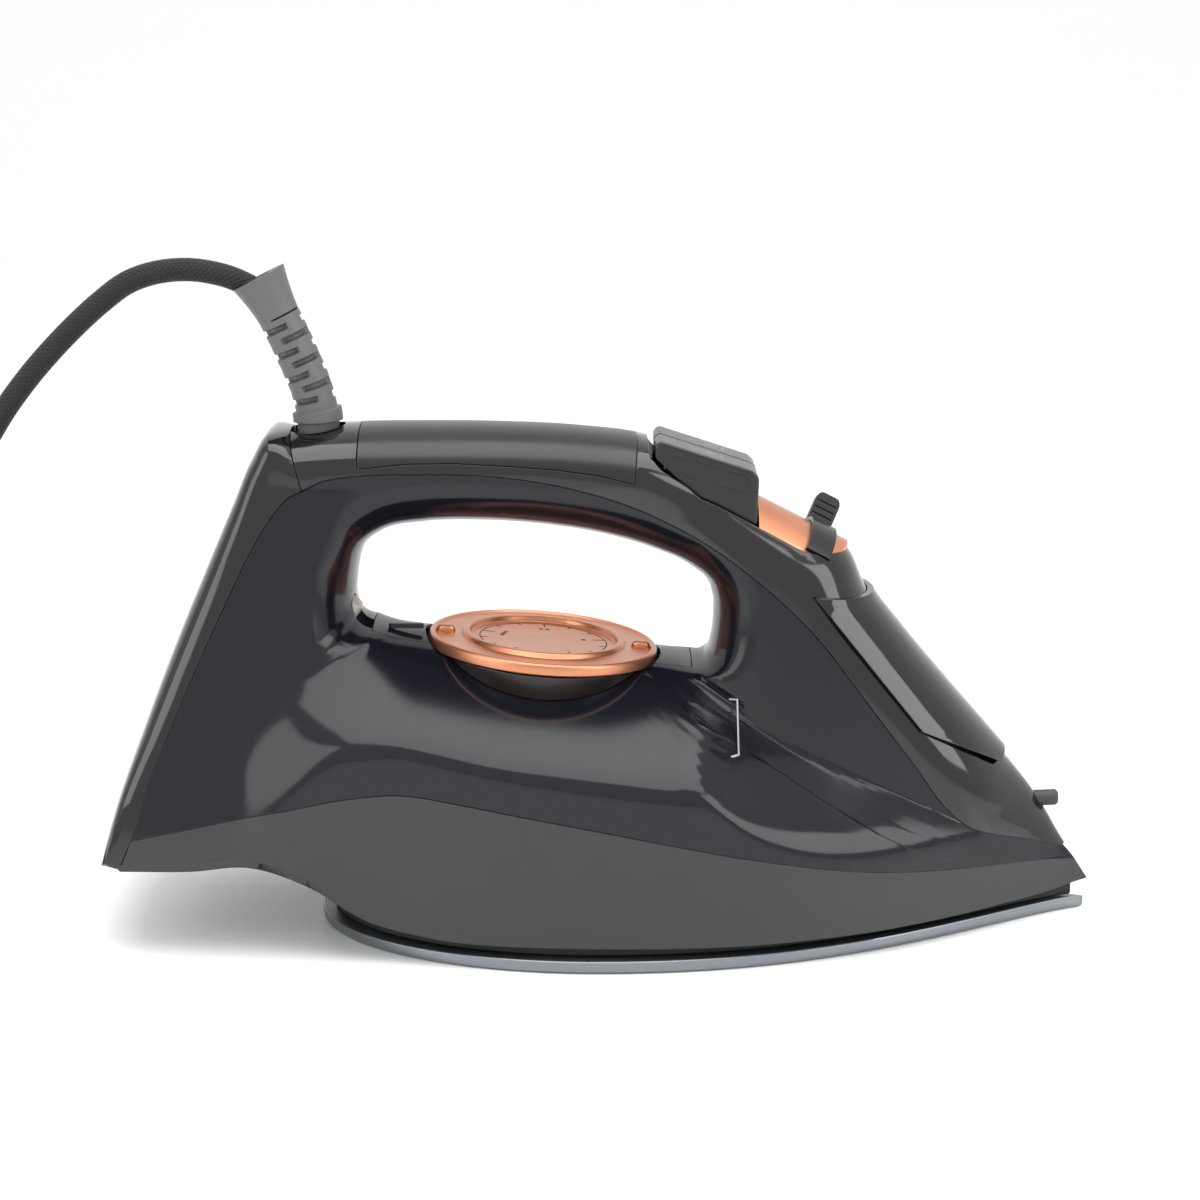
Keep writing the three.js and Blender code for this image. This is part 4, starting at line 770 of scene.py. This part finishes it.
def skin(inset):
    """Grid of (x, half-width, z) at a depth; each row runs opening, parting line, outline.

    From the opening to the parting line a row is the quadratic curve
    (1-t)^2 inner + 2t(1-t) bend + t^2 parting, and straight from there to the outline. Its
    half-width is (half_width - inset * slant) * quarter(reach/round) from either end.
    """
    inner = moved_in(opening, inset, -1)
    outer = moved_in(outline, inset, 1)
    join = parting + ((inner + outer) / 2 - parting) * min(1, inset / 20)
    bend = bends + ((inner + join) - (opening + parting)) / 2
    inner_reach = np.linalg.norm(inner - join, axis=1)
    outer_reach = np.linalg.norm(outer - join, axis=1)
    round_in = np.maximum(inner_round - inset, 1)
    round_out = np.where(outer_round > 0, np.maximum(outer_round - inset, 1), 0)
    arc = 1 - np.cos(np.linspace(0, math.pi / 2, CROWN_ROWS + 1)) ** (2 / CROWN_POWER)
    start = np.minimum(round_in, 0.85 * inner_reach)[:, None] / inner_reach[:, None]
    flat = np.linspace(0, 1, FLAT_ROWS + 1)[1:]
    near_rows = np.concatenate([start * arc, start + (1 - start) * flat], 1)
    t = near_rows[..., None]
    inside = inner[:, None] * (1 - t) ** 2 + bend[:, None] * 2 * t * (1 - t)
    inside = inside + join[:, None] * t * t
    arc_out = 1 - np.cos(np.linspace(0, math.pi / 2, CROWN_ROWS + 1)) ** (2 / outer_power[:, None])
    end = np.clip(round_out, 0.3 * outer_reach, 0.85 * outer_reach)[:, None] / outer_reach[:, None]
    flat_out = 1 - (1 - end) * np.linspace(0, 1, FLAT_ROWS // 2 + 1)[1:-1]
    far_rows = np.concatenate([flat_out, (end * arc_out)[:, ::-1]], 1)
    outside = outer[:, None] + (join - outer)[:, None] * far_rows[..., None]
    place = np.concatenate([inside, outside], 1)
    total = (inner_reach + outer_reach)[:, None]
    from_inner = np.concatenate(
        [
            np.linalg.norm(inside - inner[:, None], axis=2),
            total - np.linalg.norm(outside - outer[:, None], axis=2),
        ],
        1,
    )
    crown_in = quarter(from_inner / round_in[:, None], CROWN_POWER)
    to_outer = (total - from_inner) / np.maximum(round_out, 1e-6)[:, None]
    crown_out = np.where(round_out[:, None] > 0, quarter(to_outer, outer_power[:, None]), 1)
    x, z = place[..., 0], place[..., 1]
    y = np.maximum(half_width(x, z) - inset * slant(x, z), 0.4) * crown_in * crown_out
    return np.stack([x, y, z], -1)


PARTING_ROW = CROWN_ROWS + FLAT_ROWS
NEAR = np.array([1, -1, 1])


def ease(grid, axis, end, by):
    """Pulls one border of a grid back by a distance in mm, for the gap at a joint line."""
    grid = np.moveaxis(grid, axis, 0).copy()
    edge, inside = (0, 1) if end == 0 else (-1, -2)
    step = grid[inside] - grid[edge]
    length = np.maximum(np.linalg.norm(step, axis=-1, keepdims=True), 1e-6)
    grid[edge] += step * np.minimum(by / length, 0.8)
    return np.moveaxis(grid, 0, axis)


def samples(first, last):
    """Sample numbers from one station to another, both included."""
    return np.arange(STARTS[first], STARTS[last] + 1) % STARTS[-1]


def crown_strip(grid, first, last, gap=GAP / 2):
    """Near side from the parting line over the outline's crown and down the far side."""
    part = ease(grid[samples(first, last)][:, PARTING_ROW:], 1, 0, gap)
    part = ease(ease(part, 0, 0, gap), 0, 1, gap)
    return np.concatenate([part * NEAR, part[:, ::-1][:, 1:]], 1)


def ring_strip(grid):
    """Near side from the parting line round the opening's edge to the far side, all round."""
    part = ease(grid[:, : PARTING_ROW + 1], 1, 1, GAP / 2)
    return np.concatenate([part[:, ::-1] * NEAR, part[:, 1:]], 1)


def side_strip(grid, first, last, sign):
    """One side below the parting line: sign -1 is the near side, 1 the far side."""
    part = ease(grid[samples(first, last)][:, PARTING_ROW:], 1, 0, GAP / 2)
    part = ease(ease(part, 0, 0, GAP / 2), 0, 1, GAP / 2)
    return part * NEAR if sign < 0 else part[:, ::-1]


WALL = 2.0
COVER_DEPTH = 5.0
surface, under, deep = skin(0), skin(WALL), skin(COVER_DEPTH)

WELL_HALF, WELL_REAR, WELL_FRONT, WELL_LOW = 17.0, 13.0, 74.0, 104.0
well = [
    (WELL_FRONT - 16 + 16 * math.cos(a), WELL_HALF * math.sin(a))
    for a in np.linspace(-math.pi / 2, math.pi / 2, 33)
]
for side in (1, -1):
    for turn in np.linspace(0, 1, 7) if side > 0 else np.linspace(1, 0, 7):
        a = turn * math.pi / 2
        well.append((WELL_REAR + 5 - 5 * math.sin(a), side * (WELL_HALF - 5 + 5 * math.cos(a))))
GRIP_SIDE = [
    (-73, 143.2), (-59, 144.7), (-44, 144.9), (-29, 144.1), (-13, 142.9), (-1, 141.2), (9, 138.6),
    (10.5, 160), (-73, 160),
]
GRIP_ROOM = [
    (-73.3, 142.9), (-59, 144.4), (-44, 144.6), (-29, 143.8), (-13, 142.6), (-1, 140.9),
    (9.2, 138.3), (10.8, 160), (-73.3, 160),
]
LID_SIDE = [
    (62.6, 105), (95.4, 64.4), (106, 59.6), (113.8, 55.6), (121.4, 51.2), (130, 60), (100, 112),
    (82, 103.2), (72, 103.8),
]
DIAL = Matrix.Translation((-18.5, 0, 88)) @ Matrix.Rotation(math.radians(5), 4, "Y")
LENS_PLACE = Matrix.Translation((-76.8, -5.3, 96.6)) @ Matrix.Rotation(math.radians(130), 4, "Y")
NOZZLE = Matrix.Translation((126, 0, 35.6)) @ Matrix.Rotation(math.radians(88), 4, "Y")


def drum(name, radius, low, high, place, sides=64):
    """A tool for round holes."""
    points, faces = turned([(0, low), (radius, low), (radius, high), (0, high)], sides)
    return outward(solid(name, moved(points, place), faces))


# ------------------------------------------------------------------ water tank
# Smoky blue see-through moulding, 2 mm thick: both columns, the saddle round the hand opening
# and the handle's underside. Cut out for the dial's seat, the deck strips and the pilot lens.

tank = outward(solid("tank_shell", *slab(ring_strip(surface), ring_strip(under), wrap=True)))
points, faces = turned([(0, -22), (28.7, -22), (33.7, -4.6), (36.2, -4.6), (36.2, 30), (0, 30)])
seat_room = outward(solid("seat_room", moved(points, DIAL), faces))
strip_outline = np.array([(-70, -12), (26.5, -12), (26.5, 12), (-70, 12)])
strip_grow = GAP * np.array([(-1, -1), (1, -1), (1, 1), (-1, 1)])
strip_room = prism("strip_room", strip_outline + strip_grow, 76, 100)
lens_room = drum("lens_room", 4.9, -8, 8, LENS_PLACE)
strips = copy_of(tank, "deck_strip_shell")
carve(tank, (seat_room, "DIFFERENCE"), (strip_room, "DIFFERENCE"), (lens_room, "DIFFERENCE"))
finish_piece(tank, "iron", SMOKE, ("water_tank",))

def on_side(x, z, lift):
    """A point on the near wall of the body, lifted off it a little."""
    return (x, -float(half_width(x, z)) - lift, z)


# ------------------------------------------------------------------ level mark
# Full-level mark printed on the near wall of the tank: an upright line and two short ticks.

MARK_ROOT, MARK_FACE = 0.02, 0.08
points, faces = [], []
marks = [((39.6, 60), (40.1, 60), (40.1, 74), (39.6, 74))]
marks += [((37.4, z), (39.6, z), (39.6, z + 0.5), (37.4, z + 0.5)) for z in (60, 73.5)]
for shape in marks:
    start = len(points)
    points += [on_side(x, z, lift) for lift in (MARK_ROOT, MARK_FACE) for x, z in shape]
    faces += [[start + k for k in quad] for quad in
              ([0, 1, 2, 3], [7, 6, 5, 4], [0, 4, 5, 1], [1, 5, 6, 2], [2, 6, 7, 3], [3, 7, 4, 0])]
outward(build("level_mark", points, faces, "iron", PRINT))

# ------------------------------------------------------------------ deck strips
# The seam along the saddle, moulded in the tank's plastic; the dial's seat parts it in two.

strip_tool = prism("strip_tool", strip_outline, 76, 100)
carve(strips, (strip_tool, "INTERSECT"), (seat_room, "DIFFERENCE"))
finish_piece(strips, "iron", SMOKE, ("deck_strip_rear", "deck_strip_front"))
index_outline = [(-65, -6.7), (-55.4, -6.7), (-54.9, -6), (-55.4, -5.3), (-65, -5.3), (-65.5, -6)]
index = prism("dial_index_slot", index_outline, 91.6, 93.0)
finish_piece(index, "iron", MARK, ("dial_index",))
drop(seat_room, strip_room, lens_room, strip_tool)

# ------------------------------------------------------------------ handle cover
# Gloss black moulding from the heel of the handle over the buttons' well to the nose. Its wall
# is drawn 5 mm deep so that the well shows real sides; the grip, the guard's ball and the
# regulator cut into it.

outer, inner = crown_strip(surface, 0, COVER_END), crown_strip(deep, 0, COVER_END)
cover = outward(solid("handle_cover_shell", *slab(outer, inner)))
grip = copy_of(cover, "handle_grip_insert")
well_room = prism("well_room", well, WELL_LOW, 170)
grip_room = prism("grip_room", GRIP_ROOM, -40, 40, across=True)
points, faces = turned([(0, -9), (8.9, -9), (8.9, 0), (9.6, 12), (0, 12)], 64)
SWIVEL = Matrix.Translation((-86.2, 0, 147)) @ Matrix.Rotation(math.radians(-8), 4, "Y")
ball_room = outward(solid("ball_room", moved(points, SWIVEL), faces))
nozzle_room = drum("nozzle_room", 2.8, -2, 25, NOZZLE, 40)
carve(cover, (well_room, "DIFFERENCE"), (grip_room, "DIFFERENCE"), (ball_room, "DIFFERENCE"),
      (nozzle_room, "DIFFERENCE"))
finish_piece(cover, "iron", GLOSS, ("handle_cover",))

# ------------------------------------------------------------------ handle grip
# Satin insert on top of the handle, flush with the cover and parted from it by a fine joint.

grip_tool = prism("grip_tool", GRIP_SIDE, -40, 40, across=True)
carve(grip, (grip_tool, "INTERSECT"))
finish_piece(grip, "iron", GRIP, ("handle_grip",))
drop(well_room, grip_room, grip_tool, ball_room, nozzle_room)

# ------------------------------------------------------------------ rear cover
# Gloss black back of the iron, from the cord guard down to the heel.

outer, inner = crown_strip(surface, SKIRT_END, STATIONS), crown_strip(under, SKIRT_END, STATIONS)
rear = outward(solid("rear_cover_shell", *slab(outer, inner)))
finish_piece(rear, "iron", GLOSS, ("rear_cover",))

# ------------------------------------------------------------------ lower housing
# Satin dark grey skirt: one wall down each side, joined under the raised heel.

walls = []
for sign in (-1, 1):
    outer = side_strip(surface, SKIRT_START, SKIRT_END, sign)
    inner = side_strip(under, SKIRT_START, SKIRT_END, sign)
    walls.append(slab(outer, inner))
HEEL_START = 29
heel_far = surface[samples(HEEL_START, SKIRT_END)][:, -1]
share = np.linspace(0, 1, 12)[None, :, None]
heel = (heel_far * NEAR)[:, None] * (1 - share) + heel_far[:, None] * share
walls.append(slab(heel + [0, 0, 0.2], heel + [0, 0, WALL]))
points, faces, count = [], [], 0
for wall_points, wall_faces in walls:
    points.append(wall_points)
    faces += [[k + count for k in face] for face in wall_faces]
    count += len(wall_points)
housing = outward(solid("lower_housing_skirt", np.concatenate(points), faces))
finish_piece(housing, "iron", SATIN, ("lower_housing",))

# ------------------------------------------------------------------ filler lid
# Gloss flap on the front, 1.6 mm thick, with a raised lip round its edge; hinged at the bottom.

LID_THICKNESS = 1.6
proud, seated = skin(-GAP - LID_THICKNESS), skin(-GAP)
outer, inner = crown_strip(proud, 8, COVER_END, 0), crown_strip(seated, 8, COVER_END, 0)
lid = outward(solid("filler_lid_flap", *slab(outer, inner)))
lid_tool = prism("lid_tool", LID_SIDE, -60, 60, across=True)
carve(lid, (lid_tool, "INTERSECT"))
drop(lid_tool)
finish_piece(lid, "lid", LID_GLOSS, ("filler_lid",))

# ------------------------------------------------------------------ temperature dial
# Copper-painted disc turned in one piece with its recessed centre and raised ring; two finger
# bumps on the rim, and a printed scale of ticks and heat marks in the recess.

dial_line = [
    (0, -3.2), (33, -3.2), (33, -4), (35, -4), (35, -1.4), (34.5, -0.6), (33.4, -0.4),
    (32.6, -1.2), (25.4, -1.2), (24.4, 0.4), (22.8, 0.4), (22.3, -1.4), (0, -1.4),
]
points, faces = turned(rounded(dial_line, 0.5, 3), 160)
build("temperature_dial_disc", moved(points, DIAL), faces, "dial", COPPER,
      stands_for=("temperature_dial",))
for k, side in enumerate((-1, 1)):
    bump = rounded([(0, 1.1), (1.6, 1.1), (2.4, 0.4), (2.7, -1.6)], 0.6, 4)
    points, faces = turned(bump, 40)
    points = points * [1.15, 0.62, 1] + [side * 30, 0, -0.4]
    build(f"dial_bump_{k}", moved(points, DIAL), faces, "dial", COPPER)


def printed(name, body, place, shapes, height, thickness, finish):
    """Flat printed marks: each shape is an outline of (x, y) lying at a height."""
    points, faces = [], []
    for shape in shapes:
        n, start = len(shape), len(points)
        points += [(x, y, height - 0.05) for x, y in shape]
        points += [(x, y, height + thickness) for x, y in shape]
        faces.append([start + k for k in range(n)][::-1])
        faces.append([start + n + k for k in range(n)])
        for k in range(n):
            after = (k + 1) % n
            faces.append([start + k, start + after, start + n + after, start + n + k])
    return build(name, moved(np.array(points), place), faces, body, finish, crease=20)


def bar_shape(x0, y0, x1, y1, width):
    """A thin rectangle from one point to another."""
    a, b = np.array((x0, y0), float), np.array((x1, y1), float)
    side = np.array((-(b - a)[1], (b - a)[0])) / np.linalg.norm(b - a) * width / 2
    return [tuple(a + side), tuple(a - side), tuple(b - side), tuple(b + side)][::-1]


def disc_shape(x, y, radius, sides=20):
    """A small round dot."""
    ring = np.linspace(0, 2 * math.pi, sides, endpoint=False)
    return [(x + radius * math.cos(a), y + radius * math.sin(a)) for a in ring]


def arc_shape(radius, width, start, end, steps):
    """A thin band along an arc about the middle."""
    turn = np.linspace(start, end, steps)
    sides = [radius + width / 2, radius - width / 2]
    outer, inner = ([(r * math.cos(a), r * math.sin(a)) for a in turn] for r in sides)
    return outer + inner[::-1]


scale = [arc_shape(19.5, 0.35, math.radians(-60), math.radians(240), 90)]
TICK_OUTER, LONG_TICK, SHORT_TICK = 19.3, 15.5, 17.4
for k in range(13):
    a = math.radians(-60 + 25 * k)
    tick_inner = LONG_TICK if k % 3 == 0 else SHORT_TICK
    scale.append(bar_shape(tick_inner * math.cos(a), tick_inner * math.sin(a),
                           TICK_OUTER * math.cos(a), TICK_OUTER * math.sin(a), 0.45))
for dots, centre in ((1, 15), (2, 90), (3, 165)):
    for k in range(dots):
        a = math.radians(centre + (k - (dots - 1) / 2) * 9)
        scale.append(disc_shape(12.8 * math.cos(a), 12.8 * math.sin(a), 0.75))
printed("dial_scale", "dial", DIAL, scale, -1.4, 0.04, MARK)

# ------------------------------------------------------------------ dial seat
# Dark brown-black bowl under the dial, 2 mm thick, set in the tank: a dark piece for painted shade
# under the dial, its brown tint a painted reflection of the dial's copper underside.

bowl_line = [
    (4.3, -21.6), (28.4, -21.6), (33.4, -4.6), (31.6, -4.6), (26.9, -19.6), (4.3, -19.6),
    (4.3, -21.6),
]
points, faces = turned(rounded(bowl_line, 0.5, 3), 128)
outward(build("dial_shade_bowl", moved(points, DIAL), faces, "iron", DIAL_SHADE,
              stands_for=("dial_seat",)))

# ------------------------------------------------------------------ push buttons
# Spray and burst buttons: gloss bodies with rounded edges, a sunk frame line on each side and a
# printed generic mark on each top; they drop 4 mm into the well.

BUTTON_LINE = [
    (15.0, 149.1), (16.5, 150.6), (44.3, 141.6), (46.2, 139.4), (45.6, 124.8), (37, 124.8),
    (23, 137), (15, 145),
]
FRAME_LINE = np.array([(17.6, 147.9), (43.0, 139.6), (43.6, 134.2), (17.6, 142.2)])
FRAME_INSIDE = FRAME_LINE.mean(0) + (FRAME_LINE - FRAME_LINE.mean(0)) * [0.955, 0.86]
FRAME_SUNK, FRAME_PROUD = 0.3, 0.12
button_outline = rounded(BUTTON_LINE + BUTTON_LINE[:1], 1.2, 4)[:-1]
for name, body, side in (("spray_button", "spray_push", -1), ("burst_button", "burst_push", 1)):
    low, high = sorted((side * 0.15, side * 14.9))
    button = prism(name + "_body", button_outline, low, high, across=True)
    bevel = button.modifiers.new("edge", "BEVEL")
    bevel.width = 0.8 * MM
    bevel.segments = 3
    bevel.limit_method = "ANGLE"
    finish_piece(button, body, BUTTON, (name,), crease=50)
    face_y = side * 14.92
    count = len(FRAME_LINE)
    points = [(x, y, z) for y in (face_y - side * FRAME_SUNK, face_y + side * FRAME_PROUD)
              for ring in (FRAME_LINE, FRAME_INSIDE) for x, z in ring]
    faces = []
    for k in range(count):
        n = (k + 1) % count
        faces += [[k, n, count + n, count + k]]
        faces += [[2 * count + k, 3 * count + k, 3 * count + n, 2 * count + n]]
        faces += [[k, 2 * count + k, 2 * count + n, n]]
        faces += [[count + k, count + n, 3 * count + n, 3 * count + k]]
    outward(build(name + "_frame", points, faces, body, BUTTON))

top_slope = Matrix.Rotation(math.atan2(9.0, 27.8), 4, "Y")
SPRAY_TOP = Matrix.Translation((30.4, -7.5, 146.1)) @ top_slope
BURST_TOP = Matrix.Translation((30.4, 7.5, 146.1)) @ top_slope
spray_mark = [bar_shape(-5, 0, -1.5, 0, 0.6)]
for k in (-1, 0, 1):
    spray_mark += [bar_shape(0, k * 0.9, 3.4, k * 2.2, 0.45), disc_shape(5, k * 3.2, 0.45, 12)]
printed("spray_mark", "spray_push", SPRAY_TOP, spray_mark, 0, 0.06, PRINT)
burst_mark = [bar_shape(-5, 0, -2, 0, 0.6)]
for k in (-1, 0, 1):
    burst_mark += [bar_shape(-0.5, k * 2.2, 4.5, k * 2.2, 0.5), disc_shape(5.8, k * 2.2, 0.5, 12)]
printed("burst_mark", "burst_push", BURST_TOP, burst_mark, 0, 0.06, PRINT)

# ------------------------------------------------------------------ steam slider
# Copper-painted saddle plate bent round an axis that slopes to the nose; over it runs the black
# band of the slider with its thumb tab, turning about the same axis.

SLOPE = math.radians(27)
SADDLE_RADIUS = 22.0
AXIS_HEIGHT = 126.5 - SADDLE_RADIUS / math.cos(SLOPE)
AXIS = Matrix.Translation((56.3, 0, AXIS_HEIGHT)) @ Matrix.Rotation(SLOPE, 4, "Y")
RIM = math.asin(16 / SADDLE_RADIUS)


def sector(inner, outer, start, end, length, steps=40):
    """A plate bent about the slider's axis: angles are 0 upwards and positive towards +Y."""
    a = np.linspace(start, end, steps)
    line = [(outer * math.sin(t), outer * math.cos(t)) for t in a]
    line += [(inner * math.sin(t), inner * math.cos(t)) for t in a[::-1]]
    points = [(x, y, z) for x in (-length / 2, length / 2) for y, z in line]
    n = len(line)
    faces = [[k, k + 1, 2 * steps - 2 - k, 2 * steps - 1 - k] for k in range(steps - 1)]
    faces += [[n + q for q in face[::-1]] for face in faces]
    faces += [[k, (k + 1) % n, n + (k + 1) % n, n + k] for k in range(n)]
    return moved(np.array(points), AXIS), faces


plate = outward(solid("regulator_saddle", *sector(20.4, SADDLE_RADIUS, -RIM, RIM, 60)))
plate_tool = prism("plate_tool", well, 60, 160)
trim = prism("plate_trim", [(46.3, -30), (80, -30), (80, 30), (46.3, 30)], 60, 170)
carve(plate, (plate_tool, "INTERSECT"), (trim, "INTERSECT"))
drop(plate_tool, trim)
finish_piece(plate, "iron", COPPER, ("regulator_plate",), crease=40)
band_points, band_faces = sector(22.3, 23.5, -RIM + math.radians(3), RIM + math.radians(50), 8, 64)
tab_line = rounded([(-4, 22.9), (-4, 31.6), (-3, 33.4), (3, 33.4), (4, 31.6), (4, 22.9)], 1.2, 4)
tab_points = [(x, y, z) for y in (-1.2, 1.2) for x, z in tab_line]
n = len(tab_line)
tab_faces = [list(range(n))[::-1], [n + k for k in range(n)]]
tab_faces += [[k, (k + 1) % n, n + (k + 1) % n, n + k] for k in range(n)]
tab_place = AXIS @ Matrix.Rotation(-math.radians(28), 4, "X")
outward(build("steam_slider_band", band_points, band_faces, "steam_slider", BUTTON,
              stands_for=("steam_regulator",)))
outward(build("steam_slider_tab", moved(np.array(tab_points), tab_place), tab_faces,
              "steam_slider", BUTTON))
for k, height in enumerate((26.4, 28.6, 30.8)):
    points, faces, _ = tube([(-3.2, -1.25, height), (3.2, -1.25, height)], 0.4, 12)
    build(f"tab_ridge_{k}", moved(points, tab_place), faces, "steam_slider", BUTTON)

# ------------------------------------------------------------------ cord guard
# Grey rubber guard on a ball: a curved sleeve whose walls have short slots in staggered rows,
# moulded in one piece with its collar; it swings about the ball.

GUARD_LINE = [
    (-86.2, 0, 147), (-86.2, 0, 156), (-88, 0, 164.5), (-91.3, 0, 173), (-95, 0, 181.5),
    (-98.8, 0, 189.4), (-103, 0, 197.6),
]
guard_path = spline(GUARD_LINE, 44)
run = np.concatenate([[0], np.cumsum(np.linalg.norm(np.diff(guard_path, axis=0), axis=1))])
AROUND = 96
BORE_RADIUS = 3.9
SLEEVE_RADIUS, MOUTH_FLARE, MOUTH_LENGTH = 6.3, 2.2, 13.0
PITCH_MM, SLOT_MM, SLOT_DEPTH, FIRST_SLOT = 3.9, 1.3, 2.2, 12.5
mouth_start = run[-1] - MOUTH_LENGTH
flare = MOUTH_FLARE * np.clip((run - mouth_start) / MOUTH_LENGTH, 0, 1) ** 1.5
collar = np.where((run > 7.4) & (run < 10.8), 1.2, 0)
row = np.floor((run - FIRST_SLOT) / PITCH_MM)
within = (run - FIRST_SLOT) - row * PITCH_MM
slotted = (run > FIRST_SLOT) & (run < mouth_start)
along = slotted * np.clip((SLOT_MM / 2 + 0.3 - np.abs(within - PITCH_MM / 2)) / 0.3, 0, 1)
ring = np.linspace(0, 2 * math.pi, AROUND, endpoint=False)
row_turn = (row[:, None] % 2) * math.pi / 2
turn_gap = np.abs((ring[None, :] + math.pi / 4 + row_turn) % math.pi - math.pi / 2)
round_way = np.clip((math.radians(62) - turn_gap) / math.radians(4), 0, 1)
radius = (SLEEVE_RADIUS + flare + collar)[:, None] - SLOT_DEPTH * along[:, None] * round_way
points = rings_along(guard_path, radius, AROUND)
bore = rings_along(guard_path, np.full((len(guard_path), 1), BORE_RADIUS), AROUND)
count = len(points)
faces = grid_faces(len(guard_path), AROUND, wrap_columns=True).tolist()
faces += grid_faces(len(guard_path), AROUND, wrap_columns=True, start=count, flip=True).tolist()
last = count - AROUND
for k in range(AROUND):
    n = (k + 1) % AROUND
    faces.append([k, count + k, count + n, n])
    faces.append([last + k, last + n, count + last + n, count + last + k])
outward(build("cord_guard", np.concatenate([points, bore]), faces, "swivel", GUARD,
              stands_for=("cord_swivel",), crease=40))
BALL_RADIUS = 7.4
down_turn = np.linspace(0, math.radians(150), 30)
ball_line = [(BALL_RADIUS * math.sin(a), -BALL_RADIUS * math.cos(a)) for a in down_turn]
points, faces = turned(ball_line, 72)
build("guard_ball", moved(points, Matrix.Translation((-86.2, 0, 147))), faces, "swivel", GUARD)

# ------------------------------------------------------------------ soleplate
# Grey coated aluminium, 4 mm thick, with a tapered edge and rows of round steam holes.


SOLE_STEPS = 72


def sole_outline(inset):
    """The sole's outline pulled in by inset: superelliptic nose and rounded rear."""
    half, nose, rear = 60 - inset, 150 - inset, -87.6 + inset
    t = np.sin(np.linspace(0, math.pi / 2, SOLE_STEPS))
    front = [(-3 + (nose + 3) * s, half * (1 - s**2.2) ** 1.3) for s in t]
    t = np.cos(np.linspace(math.pi / 2, 0, SOLE_STEPS))
    back = [(-3 + (rear + 3) * max(1 - s**2.2, 0) ** 0.52, half * s) for s in t]
    side = back[:-1] + front
    return np.array(side + [(x, -y) for x, y in side[::-1][1:-1]])


def loft(name, layers, finish, stands_for, crease=30):
    """A closed stack of sole outlines: layers are (inset, height)."""
    outlines = [sole_outline(inset) for inset, _ in layers]
    count = len(outlines[0])
    rings = [np.column_stack([line, np.full(count, z)]) for line, (_, z) in zip(outlines, layers)]
    points = np.concatenate(rings)
    faces = grid_faces(len(rings), count, wrap_columns=True).tolist()
    faces += [list(range(count))[::-1], [len(points) - count + k for k in range(count)]]
    return outward(build(name, points, faces, "iron", finish, stands_for, crease))


sole = loft("soleplate_plate", [(1.6, 0), (0.7, 0.35), (0.2, 1.0), (0, 1.8), (0, 3.7), (0.3, 4)],
            SOLE, ("soleplate",), 40)
holes = [drum("steam_hole", 1.6, -1, 2.4, Matrix.Translation((x, side * y, 0)), 24)
         for x, y in [[-52, 20], [-22, 34], [12, 36], [44, 30], [74, 19]] for side in (-1, 1)]
carve(sole, *((hole, "DIFFERENCE") for hole in holes))
drop(*holes)
sole.data.shade_smooth()
sole.data.set_sharp_from_angle(angle=math.radians(40))

# ------------------------------------------------------------------ heat shield
# Black heat-proof band between the soleplate and the skirt.

loft("heat_shield_band", [(4.6, 4.3), (4, 4.7), (4, 8.2), (6, 9.4)], SHIELD,
     ("heat_shield",))

# ------------------------------------------------------------------ pilot lens and nozzle
# Clear domed lens over an amber lamp; dark grey spray nozzle with its bore at the nose.

lens_line = [(0, -5), (4.5, -5), (4.5, 0.6), (4.0, 1.3), (2.8, 1.9), (1.4, 2.15), (0, 2.2)]
points, faces = turned(rounded(lens_line, 0.5, 3), 48)
build("pilot_lens_dome", moved(points, LENS_PLACE), faces, "iron", LENS,
      stands_for=("pilot_lens",))
nozzle_line = [
    (0.6, 9), (0.6, 14.6), (1.1, 15), (1.9, 15), (2.5, 14.2), (2.5, 0), (0, 0), (0, 9), (0.6, 9),
]
points, faces = turned(rounded(nozzle_line, 0.25, 2), 48)
outward(build("spray_nozzle_tip", moved(points, NOZZLE), faces, "iron", INNER,
              stands_for=("spray_nozzle",)))

# ------------------------------------------------------------------ inner works
# The working parts seen through the tank stay as engineered; each gets the finish it is made in.

INNER_FINISHES = {
    "brass": BRASS, "cast_metal": CAST, "cord_rubber": SEAL, "element_steel": STEEL,
    "hose_rubber": HOSE, "inner_dark": INNER_DARK, "inner_plastic": INNER, "inner_white": PALE,
    "lamp_amber": LAMP, "rubber_black": SEAL, "screw_steel": STEEL, "sheet_steel": STEEL,
    "spring_steel": STEEL, "wire_blue": BLUE, "wire_brown": BROWN,
}
for entry in frame["record"]["subparts"]:
    made = nodes[entry["node"]]
    if not made.hide_render:
        made.data.materials.clear()
        made.data.materials.append(INNER_FINISHES[entry["material_slot"]])
